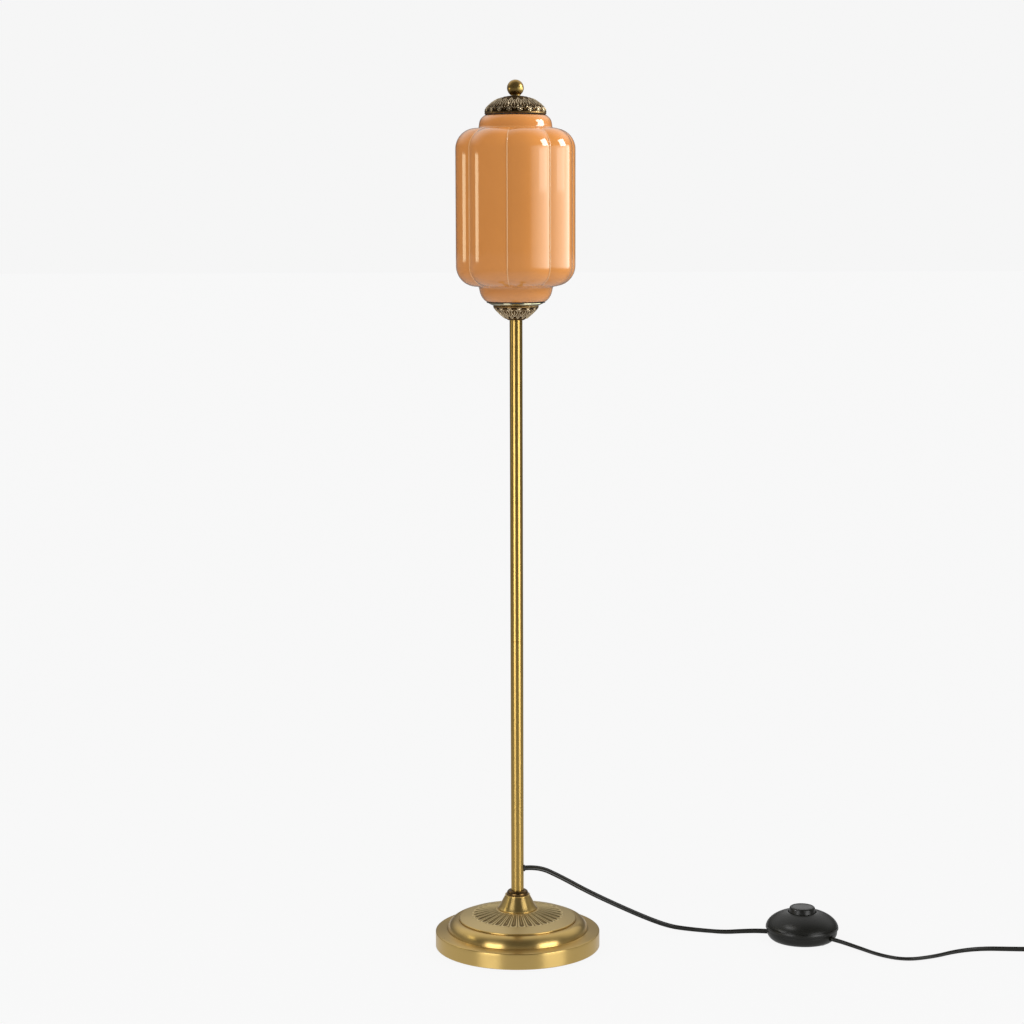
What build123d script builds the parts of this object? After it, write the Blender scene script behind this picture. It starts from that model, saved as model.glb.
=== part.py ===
from build123d import *
from math import cos, pi, radians, sin, sqrt, tan
import os

# Glass floor lamp: a weighted spun base, a slim two-piece pole, and an eight-lobed glass shade
# held between a plate below and a domed cap above. A twin flex leaves the pole near the floor,
# runs through a foot switch and ends in a coil and a plug.
# Millimetres, +Z up. The origin is on the floor, on the pole's axis. +X points to the foot switch.

# Clearances
seat_gap = 0.3
slip_fit = 0.15
thread_fit = 0.1
play = 0.6

# Base, from the floor up
base_radius = 124.3
foot_lift = 0.4
rim_height = 25.5
rim_round = 1.6
land_radius = 106.0
land_rise = 1.3
groove_radius = 86.6
groove_height = 42.0
disc_radius = 88.6
disc_lip = 2.2
disc_height = 44.7
hub_flat_radius = 30.5
hub_height = 58.2
casing_wall = 1.5
pad_inset = 6.3
pad_thickness = 2.0
weight_thickness = 15.0
weight_boss_radius = 27.0
weight_inset = 4.0
nut_recess_radius = 15.0
nut_recess_depth = 12.0

# Ring of raised petals on the base
petal_count = 32
petal_inner = 33.0
petal_outer = 69.0
petal_root_width = 4.2
petal_tip_width = 9.2
petal_rise = 0.9
petal_slot = 2.6
petal_slot_end = 64.5

# Trumpet cone and collar at the pole's foot
cone_foot_radius = 29.5
cone_foot_lip = 1.3
cone_height = 22.1
cone_top_radius = 18.6
cone_wall = 2.0
cone_lid = 3.0
collar_radius = 16.2
collar_height = 6.4
collar_top_radius = 12.4

# Threaded rods, nuts and washers on the axis
rod_radius = 4.85
rod_bore_radius = 3.0
nut_radius = 9.0
nut_height = 4.2
washer_radius = 12.5
washer_thickness = 1.5
foot_rod_bottom = 4.0
foot_rod_length = 102.0

# Pole
pole_radius = 9.5
pole_wall = 1.2
lower_pole_length = 389.1
upper_pole_length = 481.0
joiner_length = 36.0
plug_length = 16.0
joint_chamfer = 0.35

# Cord hole and its bush
cord_rise = 39.1
cord_bearing = 16.0
bush_radius = 4.2
bush_flange_radius = 5.0
bush_flange = 1.6
bush_depth = 3.0
lead_radius = 2.5
lead_bend = 6.0

# Cup, plate and gasket under the glass
cup_height = 21.4
cup_socket_depth = 2.2
cup_rim_radius = 33.6
cup_waist_radius = 25.2
cup_waist_height = 11.2
cup_neck_radius = 10.8
cup_bead_count = 16
cup_bead_radius = 2.0
cup_bead_circle = 30.6
cup_bead_drop = 3.4
plate_radius = 40.2
plate_foot_radius = 34.0
plate_edge = 1.0
plate_thickness = 4.0
spigot_radius = 38.4
spigot_wall = 1.4
spigot_height = 3.8
gasket_radius = 43.0
gasket_thickness = 1.6

# Glass shade: eight upright lobes round a core, with a neck at each end
lobe_count = 8
lobe_radius = 46.5
lobe_offset = 42.4
lobe_round = 30.0
lobe_height = 229.4
lobe_bearing = -76.1
glass_wall = 3.0
upper_neck_height = 18.4
upper_neck_radius = 54.0
upper_neck_shoulder = 8.2
upper_mouth_radius = 45.5
lower_neck_height = 22.0
lower_neck_radius = 55.6
lower_mouth_radius = 44.0
lower_neck_bulge = 52.4

# Cap and finial
cap_radius = 45.1
cap_rim_height = 3.0
cap_height = 26.6
cap_shoulder_radius = 37.8
cap_shoulder_height = 14.0
cap_wall = 1.6
cap_land = 3.6
cap_gasket_thickness = 1.5
cap_bead_count = 20
cap_bead_radius = 2.2
cap_bead_circle = 43.2
cap_bead_rise = 6.0
finial_radius = 12.2
finial_neck_radius = 7.3
finial_neck_height = 0.8
finial_bore_depth = 13.0
stud_radius = 3.0
stud_length = 21.0

# Harp that ties the plate to the cap
harp_half_width = 35.4
harp_rod_radius = 2.0
harp_bar = 2.0
harp_ring_radius = 11.0
harp_top_drop = 12.0
harp_shoulder_drop = 34.0
harp_boss_radius = 6.0

# Lampholder and bulb
holder_radius = 17.0
holder_height = 43.0
holder_wall = 1.0
holder_base = 3.0
insulator_height = 22.0
screw_shell_wall = 0.6
bulb_cap_radius = 13.2
bulb_cap_length = 25.0
bulb_neck_radius = 14.5
bulb_radius = 30.0
bulb_length = 84.0
bulb_wall = 1.0

# Foot switch
switch_x = 436.0
switch_y = 30.8
switch_radius = 55.5
switch_seam = 14.2
switch_foot_radius = 47.0
switch_lower_radius = 53.6
switch_lift = 0.8
switch_wall = 2.4
switch_dome = 28.0
switch_skirt = 2.6
button_hole_radius = 21.7
button_radius = 19.2
button_skirt_radius = 20.9
button_top = 50.5
button_edge = 1.4
button_wall = 2.2
button_travel = 3.0
button_flange = 1.5
button_flange_radius = 24.5
module_radius = 19.0
module_height = 17.0
plunger_radius = 3.0
terminal_reach = 30.0
terminal_width = 11.0
terminal_height = 13.0
spring_radius = 5.6
spring_wire = 1.0
spring_turns = 5
screw_radius = 2.0
screw_head_radius = 3.6
screw_head = 1.8
screw_circle = 38.0
screw_boss_radius = 4.4
screw_bearing = 8.0
pad_circle = 41.0
pad_button_radius = 5.0
clamp_circle = 41.0
clamp_length = 5.0
clamp_width = 20.0
clamp_cover = 2.0

# Twin flex: its free stretches, its coil and its plug
cord_diameter = 7.5
port_in_bearing = 165.0
port_in_height = 7.4
port_out_bearing = -42.0
port_out_height = 10.4
port_clearance = 0.3
coil_x = 835.0
coil_y = 7.5
coil_start_radius = 45.5
coil_pitch = 7.95
coil_turns_in = 2.0
coil_turns_out = 2.25
tail_length = 40.0
tail_spread = 6.0
plug_centre_height = 8.6
plug_relief_length = 24.0
plug_body_length = 30.0
plug_width = 25.0
plug_thickness = 16.6
plug_nose_width = 20.0
blade_width = 6.35
blade_thickness = 1.5
blade_length = 16.0
blade_spacing = 12.7

# Heights along the axis, each from the piece below it
weight_bottom = pad_thickness
land_height = rim_height + land_rise
cone_bottom = hub_height + seat_gap
cone_top = cone_bottom + cone_height
pole_bottom = cone_top + seat_gap
pole_joint = pole_bottom + lower_pole_length
pole_top = pole_joint + upper_pole_length
cord_height = pole_bottom + cord_rise
pole_bore = pole_radius - pole_wall
cup_bottom = pole_top - cup_socket_depth
cup_top = cup_bottom + cup_height
plate_bottom = cup_top + seat_gap
plate_top = plate_bottom + plate_thickness
head_nut_top = plate_top + nut_height
harp_bottom = head_nut_top + seat_gap
holder_bottom = harp_bottom + harp_bar + seat_gap
holder_top = holder_bottom + holder_height
gasket_top = plate_top + gasket_thickness
glass_bottom = gasket_top + seat_gap
lobe_bottom = glass_bottom + lower_neck_height
lobe_top = lobe_bottom + lobe_height
glass_top = lobe_top + upper_neck_height
cap_gasket_top = glass_top + cap_gasket_thickness
cap_bottom = cap_gasket_top + seat_gap
cap_top = cap_bottom + cap_height
finial_bottom = cap_top + seat_gap
ball_drop = sqrt(finial_radius**2 - finial_neck_radius**2)
ball_height = finial_bottom + finial_neck_height + ball_drop
stud_bottom = cap_top - harp_top_drop
rod_hole = rod_radius + slip_fit
stud_hole = stud_radius + play
head_rod_bottom = pole_top - plug_length
head_rod_top = holder_bottom + holder_base + nut_height
cord_radius = cord_diameter / 2


def tube(bottom, top, outer, inner):
    """A plain round tube on the axis."""
    with BuildPart() as made:
        with BuildSketch(Plane.XY.offset(bottom)):
            Circle(outer)
            Circle(inner, mode=Mode.SUBTRACT)
        extrude(amount=top - bottom)
    return made.part


def hex_nut(bottom, bore):
    """A hexagonal nut standing on the height given."""
    with BuildPart() as made:
        with BuildSketch(Plane.XY.offset(bottom)):
            RegularPolygon(nut_radius, 6)
            Circle(bore, mode=Mode.SUBTRACT)
        extrude(amount=nut_height)
    return made.part


def save(part, name):
    """Label a finished piece and write it."""
    part.label = name
    export_step(part, f"parts/{name}.step")


os.makedirs("parts", exist_ok=True)


# Base: spun casing over a cast weight, with a soft pad below


def draw_under_casing(inset, bottom):
    """The casing's outline drawn in by a wall or a gap, from the axis round to the axis."""
    side = Polyline(
        (0, bottom),
        (base_radius - inset, bottom),
        (base_radius - inset, rim_height - inset),
        (land_radius - inset, land_height - inset),
    )
    bulge = TangentArc(side @ 1, (groove_radius - inset, groove_height - inset), tangent=(0, 1))
    Polyline(
        bulge @ 1,
        (groove_radius - inset, disc_height - inset),
        (hub_flat_radius, hub_height - inset),
        (0, hub_height - inset),
        (0, bottom),
    )


with BuildPart() as petals:
    with BuildSketch(Plane.XZ):
        with BuildLine():
            fall = (hub_height - disc_height) / (disc_radius - hub_flat_radius)
            inner_height = hub_height - fall * (petal_inner - hub_flat_radius)
            outer_height = hub_height - fall * (petal_outer - hub_flat_radius)
            Polyline(
                (petal_inner, inner_height - casing_wall / 2),
                (petal_outer, outer_height - casing_wall / 2),
                (petal_outer, outer_height + petal_rise),
                (petal_inner, inner_height + petal_rise),
                close=True,
            )
        make_face()
    revolve(axis=Axis.Z)
    with BuildSketch(Plane.XY.offset(disc_height - casing_wall)) as tongue:
        with BuildLine():
            root = petal_root_width / 2
            tip = petal_tip_width / 2
            edge_x = petal_outer - tip
            Line((edge_x, -tip), (petal_inner, -root))
            Line((petal_inner, -root), (petal_inner, root))
            Line((petal_inner, root), (edge_x, tip))
            ThreePointArc((edge_x, tip), (petal_outer, 0), (edge_x, -tip))
        make_face()
        with Locations((petal_slot_end / 2, 0)):
            SlotOverall(petal_slot_end, petal_slot, mode=Mode.SUBTRACT)
    with BuildSketch(Plane.XY.offset(disc_height - casing_wall)):
        with PolarLocations(0, petal_count):
            add(tongue.sketch_local)
    extrude(amount=hub_height, mode=Mode.INTERSECT)

with BuildPart() as base_cover:
    with BuildSketch(Plane.XZ):
        with BuildLine():
            wall = Line((base_radius, foot_lift), (base_radius, rim_height - rim_round))
            edge = TangentArc(wall @ 1, (base_radius - rim_round, rim_height), tangent=(0, 1))
            land = Line(edge @ 1, (land_radius, land_height))
            bulge = TangentArc(land @ 1, (groove_radius, groove_height), tangent=(0, 1))
            Polyline(
                bulge @ 1,
                (groove_radius, disc_height - disc_lip),
                (disc_radius, disc_height - disc_lip),
                (disc_radius, disc_height),
                (hub_flat_radius, hub_height),
                (0, hub_height),
                (0, foot_lift),
                (base_radius, foot_lift),
            )
        make_face()
    revolve(axis=Axis.Z)
    with BuildSketch(Plane.XZ):
        with BuildLine():
            draw_under_casing(casing_wall, 0)
        make_face()
    revolve(axis=Axis.Z, mode=Mode.SUBTRACT)
    add(petals.part)
    Hole(rod_hole)
save(base_cover.part, "base_cover")

weight_radius = base_radius - weight_inset
boss_top = hub_height - casing_wall - seat_gap
with BuildPart() as base_weight:
    with BuildSketch(Plane.XY.offset(weight_bottom)):
        Circle(weight_radius)
    extrude(amount=weight_thickness)
    with BuildSketch(Plane.XY.offset(weight_bottom)):
        Circle(weight_boss_radius)
    extrude(amount=boss_top - weight_bottom)
    Hole(rod_hole)
    with BuildSketch(Plane.XY.offset(weight_bottom)):
        Circle(nut_recess_radius)
    extrude(amount=nut_recess_depth, mode=Mode.SUBTRACT)
save(base_weight.part, "base_weight")

with BuildPart() as base_pad:
    with BuildSketch():
        Circle(base_radius - pad_inset)
    extrude(amount=pad_thickness)
save(base_pad.part, "base_pad")

washer_top = weight_bottom + nut_recess_depth
washer_bottom = washer_top - washer_thickness
save(tube(washer_bottom, washer_top, washer_radius, rod_hole), "base_washer")
save(hex_nut(washer_bottom - nut_height, rod_radius + thread_fit), "base_nut")
save(tube(foot_rod_bottom, foot_rod_bottom + foot_rod_length, rod_radius, rod_bore_radius), "base_rod")

# Trumpet cone and collar
with BuildPart() as hub_cone:
    with BuildSketch(Plane.XZ):
        with BuildLine():
            flare_x = cone_foot_radius - cone_wall - 1.0
            flare_z = cone_bottom + cone_foot_lip + 4.5
            Polyline((rod_hole, cone_bottom), (cone_foot_radius, cone_bottom))
            Line((cone_foot_radius, cone_bottom), (cone_foot_radius, cone_bottom + cone_foot_lip))
            flank = Line((flare_x, flare_z), (cone_top_radius, cone_top - cone_foot_lip))
            TangentArc(
                (flare_x, flare_z),
                (cone_foot_radius, cone_bottom + cone_foot_lip),
                tangent=-(flank % 0),
            )
            Polyline(
                flank @ 1,
                (cone_top_radius, cone_top),
                (rod_hole, cone_top),
                (rod_hole, cone_bottom),
            )
        make_face()
    revolve(axis=Axis.Z)
    with BuildSketch(Plane.XZ):
        with BuildLine():
            Polyline(
                (0, cone_bottom),
                (flare_x - cone_wall, cone_bottom),
                (flare_x - cone_wall, flare_z - 1.0),
                (cone_top_radius - cone_wall, cone_top - cone_lid),
                (0, cone_top - cone_lid),
                close=True,
            )
        make_face()
    revolve(axis=Axis.Z, mode=Mode.SUBTRACT)
save(hub_cone.part, "hub_cone")

with BuildPart() as hub_collar:
    with BuildSketch(Plane.XZ):
        with BuildLine():
            bore = pole_radius + slip_fit
            band = cone_foot_lip
            Polyline(
                (collar_top_radius, pole_bottom + collar_height),
                (bore, pole_bottom + collar_height),
                (bore, pole_bottom),
                (collar_radius, pole_bottom),
                (collar_radius, pole_bottom + band),
            )
            TangentArc(
                (collar_radius, pole_bottom + band),
                (collar_top_radius, pole_bottom + collar_height),
                tangent=(0, 1),
            )
        make_face()
    revolve(axis=Axis.Z)
save(hub_collar.part, "hub_collar")

# Pole: two tubes on a hidden joiner, with a threaded plug at each end
cord_way = Vector(cos(radians(cord_bearing)), sin(radians(cord_bearing)), 0)
hole_plane = Plane(origin=(0, 0, cord_height), z_dir=cord_way)

with BuildPart() as pole_lower:
    with BuildSketch(Plane.XY.offset(pole_bottom)):
        Circle(pole_radius)
        Circle(pole_bore, mode=Mode.SUBTRACT)
    extrude(amount=lower_pole_length)
    rims = pole_lower.edges().filter_by(GeomType.CIRCLE).sort_by(Axis.Z)[-2:]
    chamfer(rims.sort_by(SortBy.RADIUS)[-1], joint_chamfer)
    with BuildSketch(hole_plane):
        Circle(bush_radius + slip_fit)
    extrude(amount=pole_radius * 2, mode=Mode.SUBTRACT)
save(pole_lower.part, "pole_lower")

with BuildPart() as pole_upper:
    with BuildSketch(Plane.XY.offset(pole_joint)):
        Circle(pole_radius)
        Circle(pole_bore, mode=Mode.SUBTRACT)
    extrude(amount=upper_pole_length)
    rims = pole_upper.edges().filter_by(GeomType.CIRCLE).sort_by(Axis.Z)[:2]
    chamfer(rims.sort_by(SortBy.RADIUS)[-1], joint_chamfer)
save(pole_upper.part, "pole_upper")

lead_hole = lead_radius + slip_fit
insert_radius = pole_bore - slip_fit
joiner_bottom = pole_joint - joiner_length / 2
save(tube(joiner_bottom, joiner_bottom + joiner_length, insert_radius, lead_hole), "pole_joiner")
save(tube(pole_bottom, pole_bottom + plug_length, insert_radius, rod_radius + thread_fit), "pole_foot_plug")
save(tube(pole_top - plug_length, pole_top, insert_radius, rod_radius + thread_fit), "pole_head_plug")

bush_inner = pole_radius - bush_depth
bush_outer = pole_radius + bush_flange
with BuildPart() as cord_bush:
    with BuildSketch(hole_plane.offset(bush_inner)):
        Circle(bush_flange_radius)
    extrude(amount=bush_outer - bush_inner)
    with BuildSketch(Plane.XY.offset(cord_height - pole_radius)):
        Circle(pole_radius + slip_fit / 2)
    extrude(amount=pole_radius * 2, mode=Mode.SUBTRACT)
    with BuildSketch(hole_plane.offset(bush_inner)):
        Circle(bush_radius)
    extrude(amount=bush_outer - bush_inner)
    with BuildSketch(hole_plane.offset(bush_inner)):
        Circle(lead_hole)
    extrude(amount=bush_outer - bush_inner, mode=Mode.SUBTRACT)
save(cord_bush.part, "cord_bush")

# Lead inside the pole, from the bush up to the lampholder
with BuildPart() as inner_lead:
    with BuildLine() as lead_path:
        FilletPolyline(
            cord_way * bush_outer + Vector(0, 0, cord_height),
            (0, 0, cord_height),
            (0, 0, head_rod_top),
            radius=lead_bend,
        )
    with BuildSketch(Plane(origin=lead_path.line @ 0, z_dir=lead_path.line % 0)):
        Circle(lead_radius)
    sweep()
save(inner_lead.part, "inner_lead")

# Embossed cup, polished plate and gasket under the glass
with BuildPart() as bottom_cup:
    with BuildSketch(Plane.XZ):
        with BuildLine():
            cup_lip = cup_top - seat_gap * 4
            Polyline(
                (cup_neck_radius, cup_bottom),
                (rod_hole, cup_bottom),
                (rod_hole, cup_top),
                (cup_rim_radius, cup_top),
                (cup_rim_radius, cup_lip),
            )
            ThreePointArc(
                (cup_rim_radius, cup_lip),
                (cup_waist_radius, cup_bottom + cup_waist_height),
                (cup_neck_radius, cup_bottom),
            )
        make_face()
    revolve(axis=Axis.Z)
    with Locations((0, 0, cup_top - cup_bead_drop)):
        with PolarLocations(cup_bead_circle, cup_bead_count):
            Sphere(cup_bead_radius)
    with BuildSketch(Plane.XY.offset(cup_bottom)):
        Circle(pole_radius + slip_fit)
    extrude(amount=cup_socket_depth, mode=Mode.SUBTRACT)
save(bottom_cup.part, "bottom_cup")

with BuildPart() as gallery_plate:
    with BuildSketch(Plane.XZ):
        with BuildLine():
            Polyline(
                (rod_hole, plate_bottom),
                (plate_foot_radius, plate_bottom),
                (plate_radius, plate_top - plate_edge),
                (plate_radius, plate_top),
                (spigot_radius, plate_top),
                (spigot_radius, plate_top + spigot_height),
                (spigot_radius - spigot_wall, plate_top + spigot_height),
                (spigot_radius - spigot_wall, plate_top),
                (rod_hole, plate_top),
                close=True,
            )
        make_face()
    revolve(axis=Axis.Z)
save(gallery_plate.part, "gallery_plate")

gasket_inner = spigot_radius + slip_fit
save(tube(plate_top, gasket_top, gasket_radius, gasket_inner), "gallery_gasket")
save(tube(head_rod_bottom, head_rod_top, rod_radius, rod_bore_radius), "head_rod")
save(hex_nut(plate_top, rod_radius + thread_fit), "head_nut")

# Harp: a foot bar under the lampholder, two uprights and a threaded stud through the cap
with BuildPart() as harp:
    with BuildSketch(Plane.XY.offset(harp_bottom)):
        SlotCenterToCenter(harp_half_width * 2, harp_rod_radius * 2)
        Circle(harp_ring_radius)
        Circle(rod_hole, mode=Mode.SUBTRACT)
    extrude(amount=harp_bar)
    with BuildLine() as frame_path:
        shoulder = stud_bottom - harp_shoulder_drop
        bend = harp_half_width / 2
        FilletPolyline(
            (-harp_half_width, 0, harp_bottom + harp_bar / 2),
            (-harp_half_width, 0, shoulder),
            (0, 0, stud_bottom + harp_rod_radius),
            (harp_half_width, 0, shoulder),
            (harp_half_width, 0, harp_bottom + harp_bar / 2),
            radius=bend,
        )
    with BuildSketch(Plane(origin=frame_path.line @ 0, z_dir=(0, 0, 1))):
        Circle(harp_rod_radius)
    sweep()
    with BuildSketch(Plane.XY.offset(stud_bottom - harp_boss_radius)):
        Circle(harp_boss_radius)
    extrude(amount=harp_boss_radius)
    with BuildSketch(Plane.XY.offset(stud_bottom - harp_boss_radius)):
        Circle(stud_radius)
    extrude(amount=harp_boss_radius + stud_length)
save(harp.part, "harp")

# Lampholder: metal shell with an insulated core that carries the screw shell
with BuildPart() as lampholder_shell:
    with BuildSketch(Plane.XY.offset(holder_bottom)):
        Circle(holder_radius)
    extrude(amount=holder_height)
    fillet(lampholder_shell.edges().sort_by(Axis.Z)[0], holder_base)
    with BuildSketch(Plane.XY.offset(holder_bottom + holder_base)):
        Circle(holder_radius - holder_wall)
    extrude(amount=holder_height, mode=Mode.SUBTRACT)
    with Locations((0, 0, holder_bottom)):
        Hole(rod_hole)
save(lampholder_shell.part, "lampholder_shell")

core_radius = holder_radius - holder_wall - slip_fit
core_bottom = holder_bottom + holder_base + nut_height + seat_gap
core_top = core_bottom + insulator_height
screw_bore = bulb_cap_radius + slip_fit
with BuildPart() as lampholder_core:
    with BuildSketch(Plane.XY.offset(core_bottom)):
        Circle(core_radius)
    extrude(amount=insulator_height / 2)
    with BuildSketch(Plane.XY.offset(core_bottom + insulator_height / 2)):
        Circle(core_radius)
        Circle(screw_bore, mode=Mode.SUBTRACT)
    extrude(amount=insulator_height / 2)
    with BuildSketch(Plane.XY.offset(core_top)):
        Circle(screw_bore + screw_shell_wall)
        Circle(screw_bore, mode=Mode.SUBTRACT)
    extrude(amount=holder_top - core_top)
save(lampholder_core.part, "lampholder_core")
save(hex_nut(holder_bottom + holder_base, rod_radius + thread_fit), "holder_nut")

# Bulb: screw cap and blown glass
bulb_bottom = core_bottom + insulator_height / 2 + seat_gap
bulb_cap_top = bulb_bottom + bulb_cap_length
bulb_top = bulb_cap_top + bulb_length
with BuildPart() as bulb_cap:
    with BuildSketch(Plane.XY.offset(bulb_bottom)):
        Circle(bulb_cap_radius)
    extrude(amount=bulb_cap_length)
    chamfer(bulb_cap.edges().sort_by(Axis.Z)[0], bulb_cap_radius / 3)
save(bulb_cap.part, "bulb_cap")

with BuildPart() as bulb_glass:
    with BuildSketch(Plane.XZ):
        with BuildLine():
            globe_z = bulb_top - bulb_radius
            neck_top = bulb_cap_top + bulb_cap_radius
            waist = Line((bulb_cap_radius, bulb_cap_top), (bulb_neck_radius, neck_top))
            Spline(
                waist @ 1,
                (bulb_radius, globe_z),
                tangents=[(0.2, 1), (0, 1)],
            )
            TangentArc((bulb_radius, globe_z), (0, bulb_top), tangent=(0, 1))
            Polyline((0, bulb_top), (0, bulb_cap_top), (bulb_cap_radius, bulb_cap_top))
        make_face()
    revolve(axis=Axis.Z)
    offset(amount=-bulb_wall, openings=bulb_glass.faces().filter_by(GeomType.PLANE).sort_by(Axis.Z)[0])
save(bulb_glass.part, "bulb_glass")


# Glass shade: lobes with rounded ends joined round a core, then hollowed by the same form


def draw_necks(inset):
    """Half outline of the core and both necks, drawn in by the glass's wall."""
    mouth = upper_mouth_radius - inset
    foot = lower_mouth_radius - inset
    throat = upper_neck_radius - inset
    belly = lower_neck_radius - inset
    shoulder = glass_top - upper_neck_shoulder
    neck_middle = glass_bottom + lower_neck_height / 2
    Polyline((0, glass_top), (0, glass_bottom), (foot, glass_bottom))
    ThreePointArc((foot, glass_bottom), (lower_neck_bulge - inset, neck_middle), (belly, lobe_bottom))
    Line((belly, lobe_bottom), (throat, lobe_top - inset))
    lean = Line((throat, lobe_top - inset), (throat - upper_neck_shoulder / 6, shoulder - inset / 2))
    TangentArc(lean @ 1, (mouth, glass_top), tangent=lean % 1)
    Line((mouth, glass_top), (0, glass_top))


def shade_form(inset):
    """The shade's outer form, or the hollow inside it when drawn in by the wall."""
    radius = lobe_radius - inset
    curve = lobe_round - inset
    low = lobe_bottom + inset
    high = lobe_top - inset
    reach = lobe_offset + radius
    half_wedge = tan(pi / lobe_count) * reach
    with BuildPart() as lobe:
        with BuildSketch(Plane((lobe_offset, 0, 0), x_dir=(1, 0, 0), z_dir=(0, -1, 0))):
            with BuildLine():
                Polyline((radius - curve, low), (0, low), (0, high), (radius - curve, high))
                CenterArc((radius - curve, high - curve), curve, 0, 90)
                Line((radius, high - curve), (radius, low + curve))
                CenterArc((radius - curve, low + curve), curve, -90, 90)
            make_face()
        revolve(axis=Axis((lobe_offset, 0, 0), (0, 0, 1)))
        with BuildSketch(Plane.XY.offset(low)):
            with BuildLine():
                Polyline((0, 0), (reach, -half_wedge), (reach, half_wedge), close=True)
            make_face()
        extrude(amount=high - low, mode=Mode.INTERSECT)
    with BuildPart() as form:
        with PolarLocations(0, lobe_count, start_angle=lobe_bearing):
            add(lobe.part)
        with BuildSketch(Plane.XZ):
            with BuildLine():
                draw_necks(inset)
            make_face()
        revolve(axis=Axis.Z)
    return form.part


glass_outside = shade_form(0)
glass_inside = shade_form(glass_wall)
with BuildPart() as glass_shade:
    add(glass_outside)
    add(glass_inside, mode=Mode.SUBTRACT)
save(glass_shade.part, "glass_shade")

save(tube(glass_top, cap_gasket_top, cap_radius - 1.0, upper_mouth_radius - glass_wall), "cap_gasket")

# Domed cap with a turned-in land that bears on the gasket
with BuildPart() as top_cap:
    with BuildSketch(Plane.XZ):
        with BuildLine():
            Polyline((0, cap_bottom), (cap_radius, cap_bottom), (cap_radius, cap_bottom + cap_rim_height))
            Spline(
                (cap_radius, cap_bottom + cap_rim_height),
                (cap_shoulder_radius, cap_bottom + cap_shoulder_height),
                (0, cap_top),
                tangents=[(0, 1), (-1, 0)],
            )
            Line((0, cap_top), (0, cap_bottom))
        make_face()
    revolve(axis=Axis.Z)
    with Locations((0, 0, cap_bottom + cap_bead_rise)):
        with PolarLocations(cap_bead_circle, cap_bead_count):
            Sphere(cap_bead_radius)
    with BuildSketch(Plane.XZ):
        with BuildLine():
            hollow = cap_radius - cap_wall
            hollow_bottom = cap_bottom + cap_wall
            Polyline((0, hollow_bottom), (hollow, hollow_bottom), (hollow, cap_bottom + cap_rim_height))
            Spline(
                (hollow, cap_bottom + cap_rim_height),
                (cap_shoulder_radius - cap_wall, cap_bottom + cap_shoulder_height - cap_wall / 2),
                (0, cap_top - cap_wall),
                tangents=[(0, 1), (-1, 0)],
            )
            Line((0, cap_top - cap_wall), (0, hollow_bottom))
        make_face()
    revolve(axis=Axis.Z, mode=Mode.SUBTRACT)
    with BuildSketch(Plane.XY.offset(cap_bottom)):
        Circle(cap_radius - cap_land)
    extrude(amount=cap_wall, mode=Mode.SUBTRACT)
    with Locations((0, 0, cap_top)):
        Hole(stud_hole)
save(top_cap.part, "top_cap")

with BuildPart() as finial_ball:
    with BuildSketch(Plane.XZ):
        with BuildLine():
            Polyline(
                (0, ball_height + finial_radius),
                (0, finial_bottom),
                (finial_neck_radius, finial_bottom),
                (finial_neck_radius, ball_height - ball_drop),
            )
            ThreePointArc(
                (finial_neck_radius, ball_height - ball_drop),
                (finial_radius, ball_height),
                (0, ball_height + finial_radius),
            )
        make_face()
    revolve(axis=Axis.Z)
    with BuildSketch(Plane.XY.offset(finial_bottom)):
        Circle(stud_radius + thread_fit)
    extrude(amount=finial_bore_depth, mode=Mode.SUBTRACT)
save(finial_ball.part, "finial_ball")


# Foot switch: two shells, a sprung button, the contact block, clamps, screws and pads


def switch_plane(height):
    """A level plane on the switch's own axis."""
    return Plane(origin=(switch_x, switch_y, height))


def port_plane(port, reach):
    """A plane square to a cord port, this far out from the switch's axis."""
    bearing, height = port
    way = Vector(cos(radians(bearing)), sin(radians(bearing)), 0)
    origin = Vector(switch_x, switch_y, height) + way * reach
    return Plane(origin=origin, x_dir=(-way.Y, way.X, 0), z_dir=way)


port_in = (port_in_bearing, port_in_height)
port_out = (port_out_bearing, port_out_height)
switch_upright = Plane(origin=(switch_x, switch_y, 0), x_dir=(1, 0, 0), z_dir=(0, -1, 0))
switch_axis = Axis((switch_x, switch_y, 0), (0, 0, 1))
port_radius = cord_radius + port_clearance
cover_bottom = switch_seam + seat_gap
dome_base = cover_bottom + switch_skirt
floor_top = switch_lift + switch_wall

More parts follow.
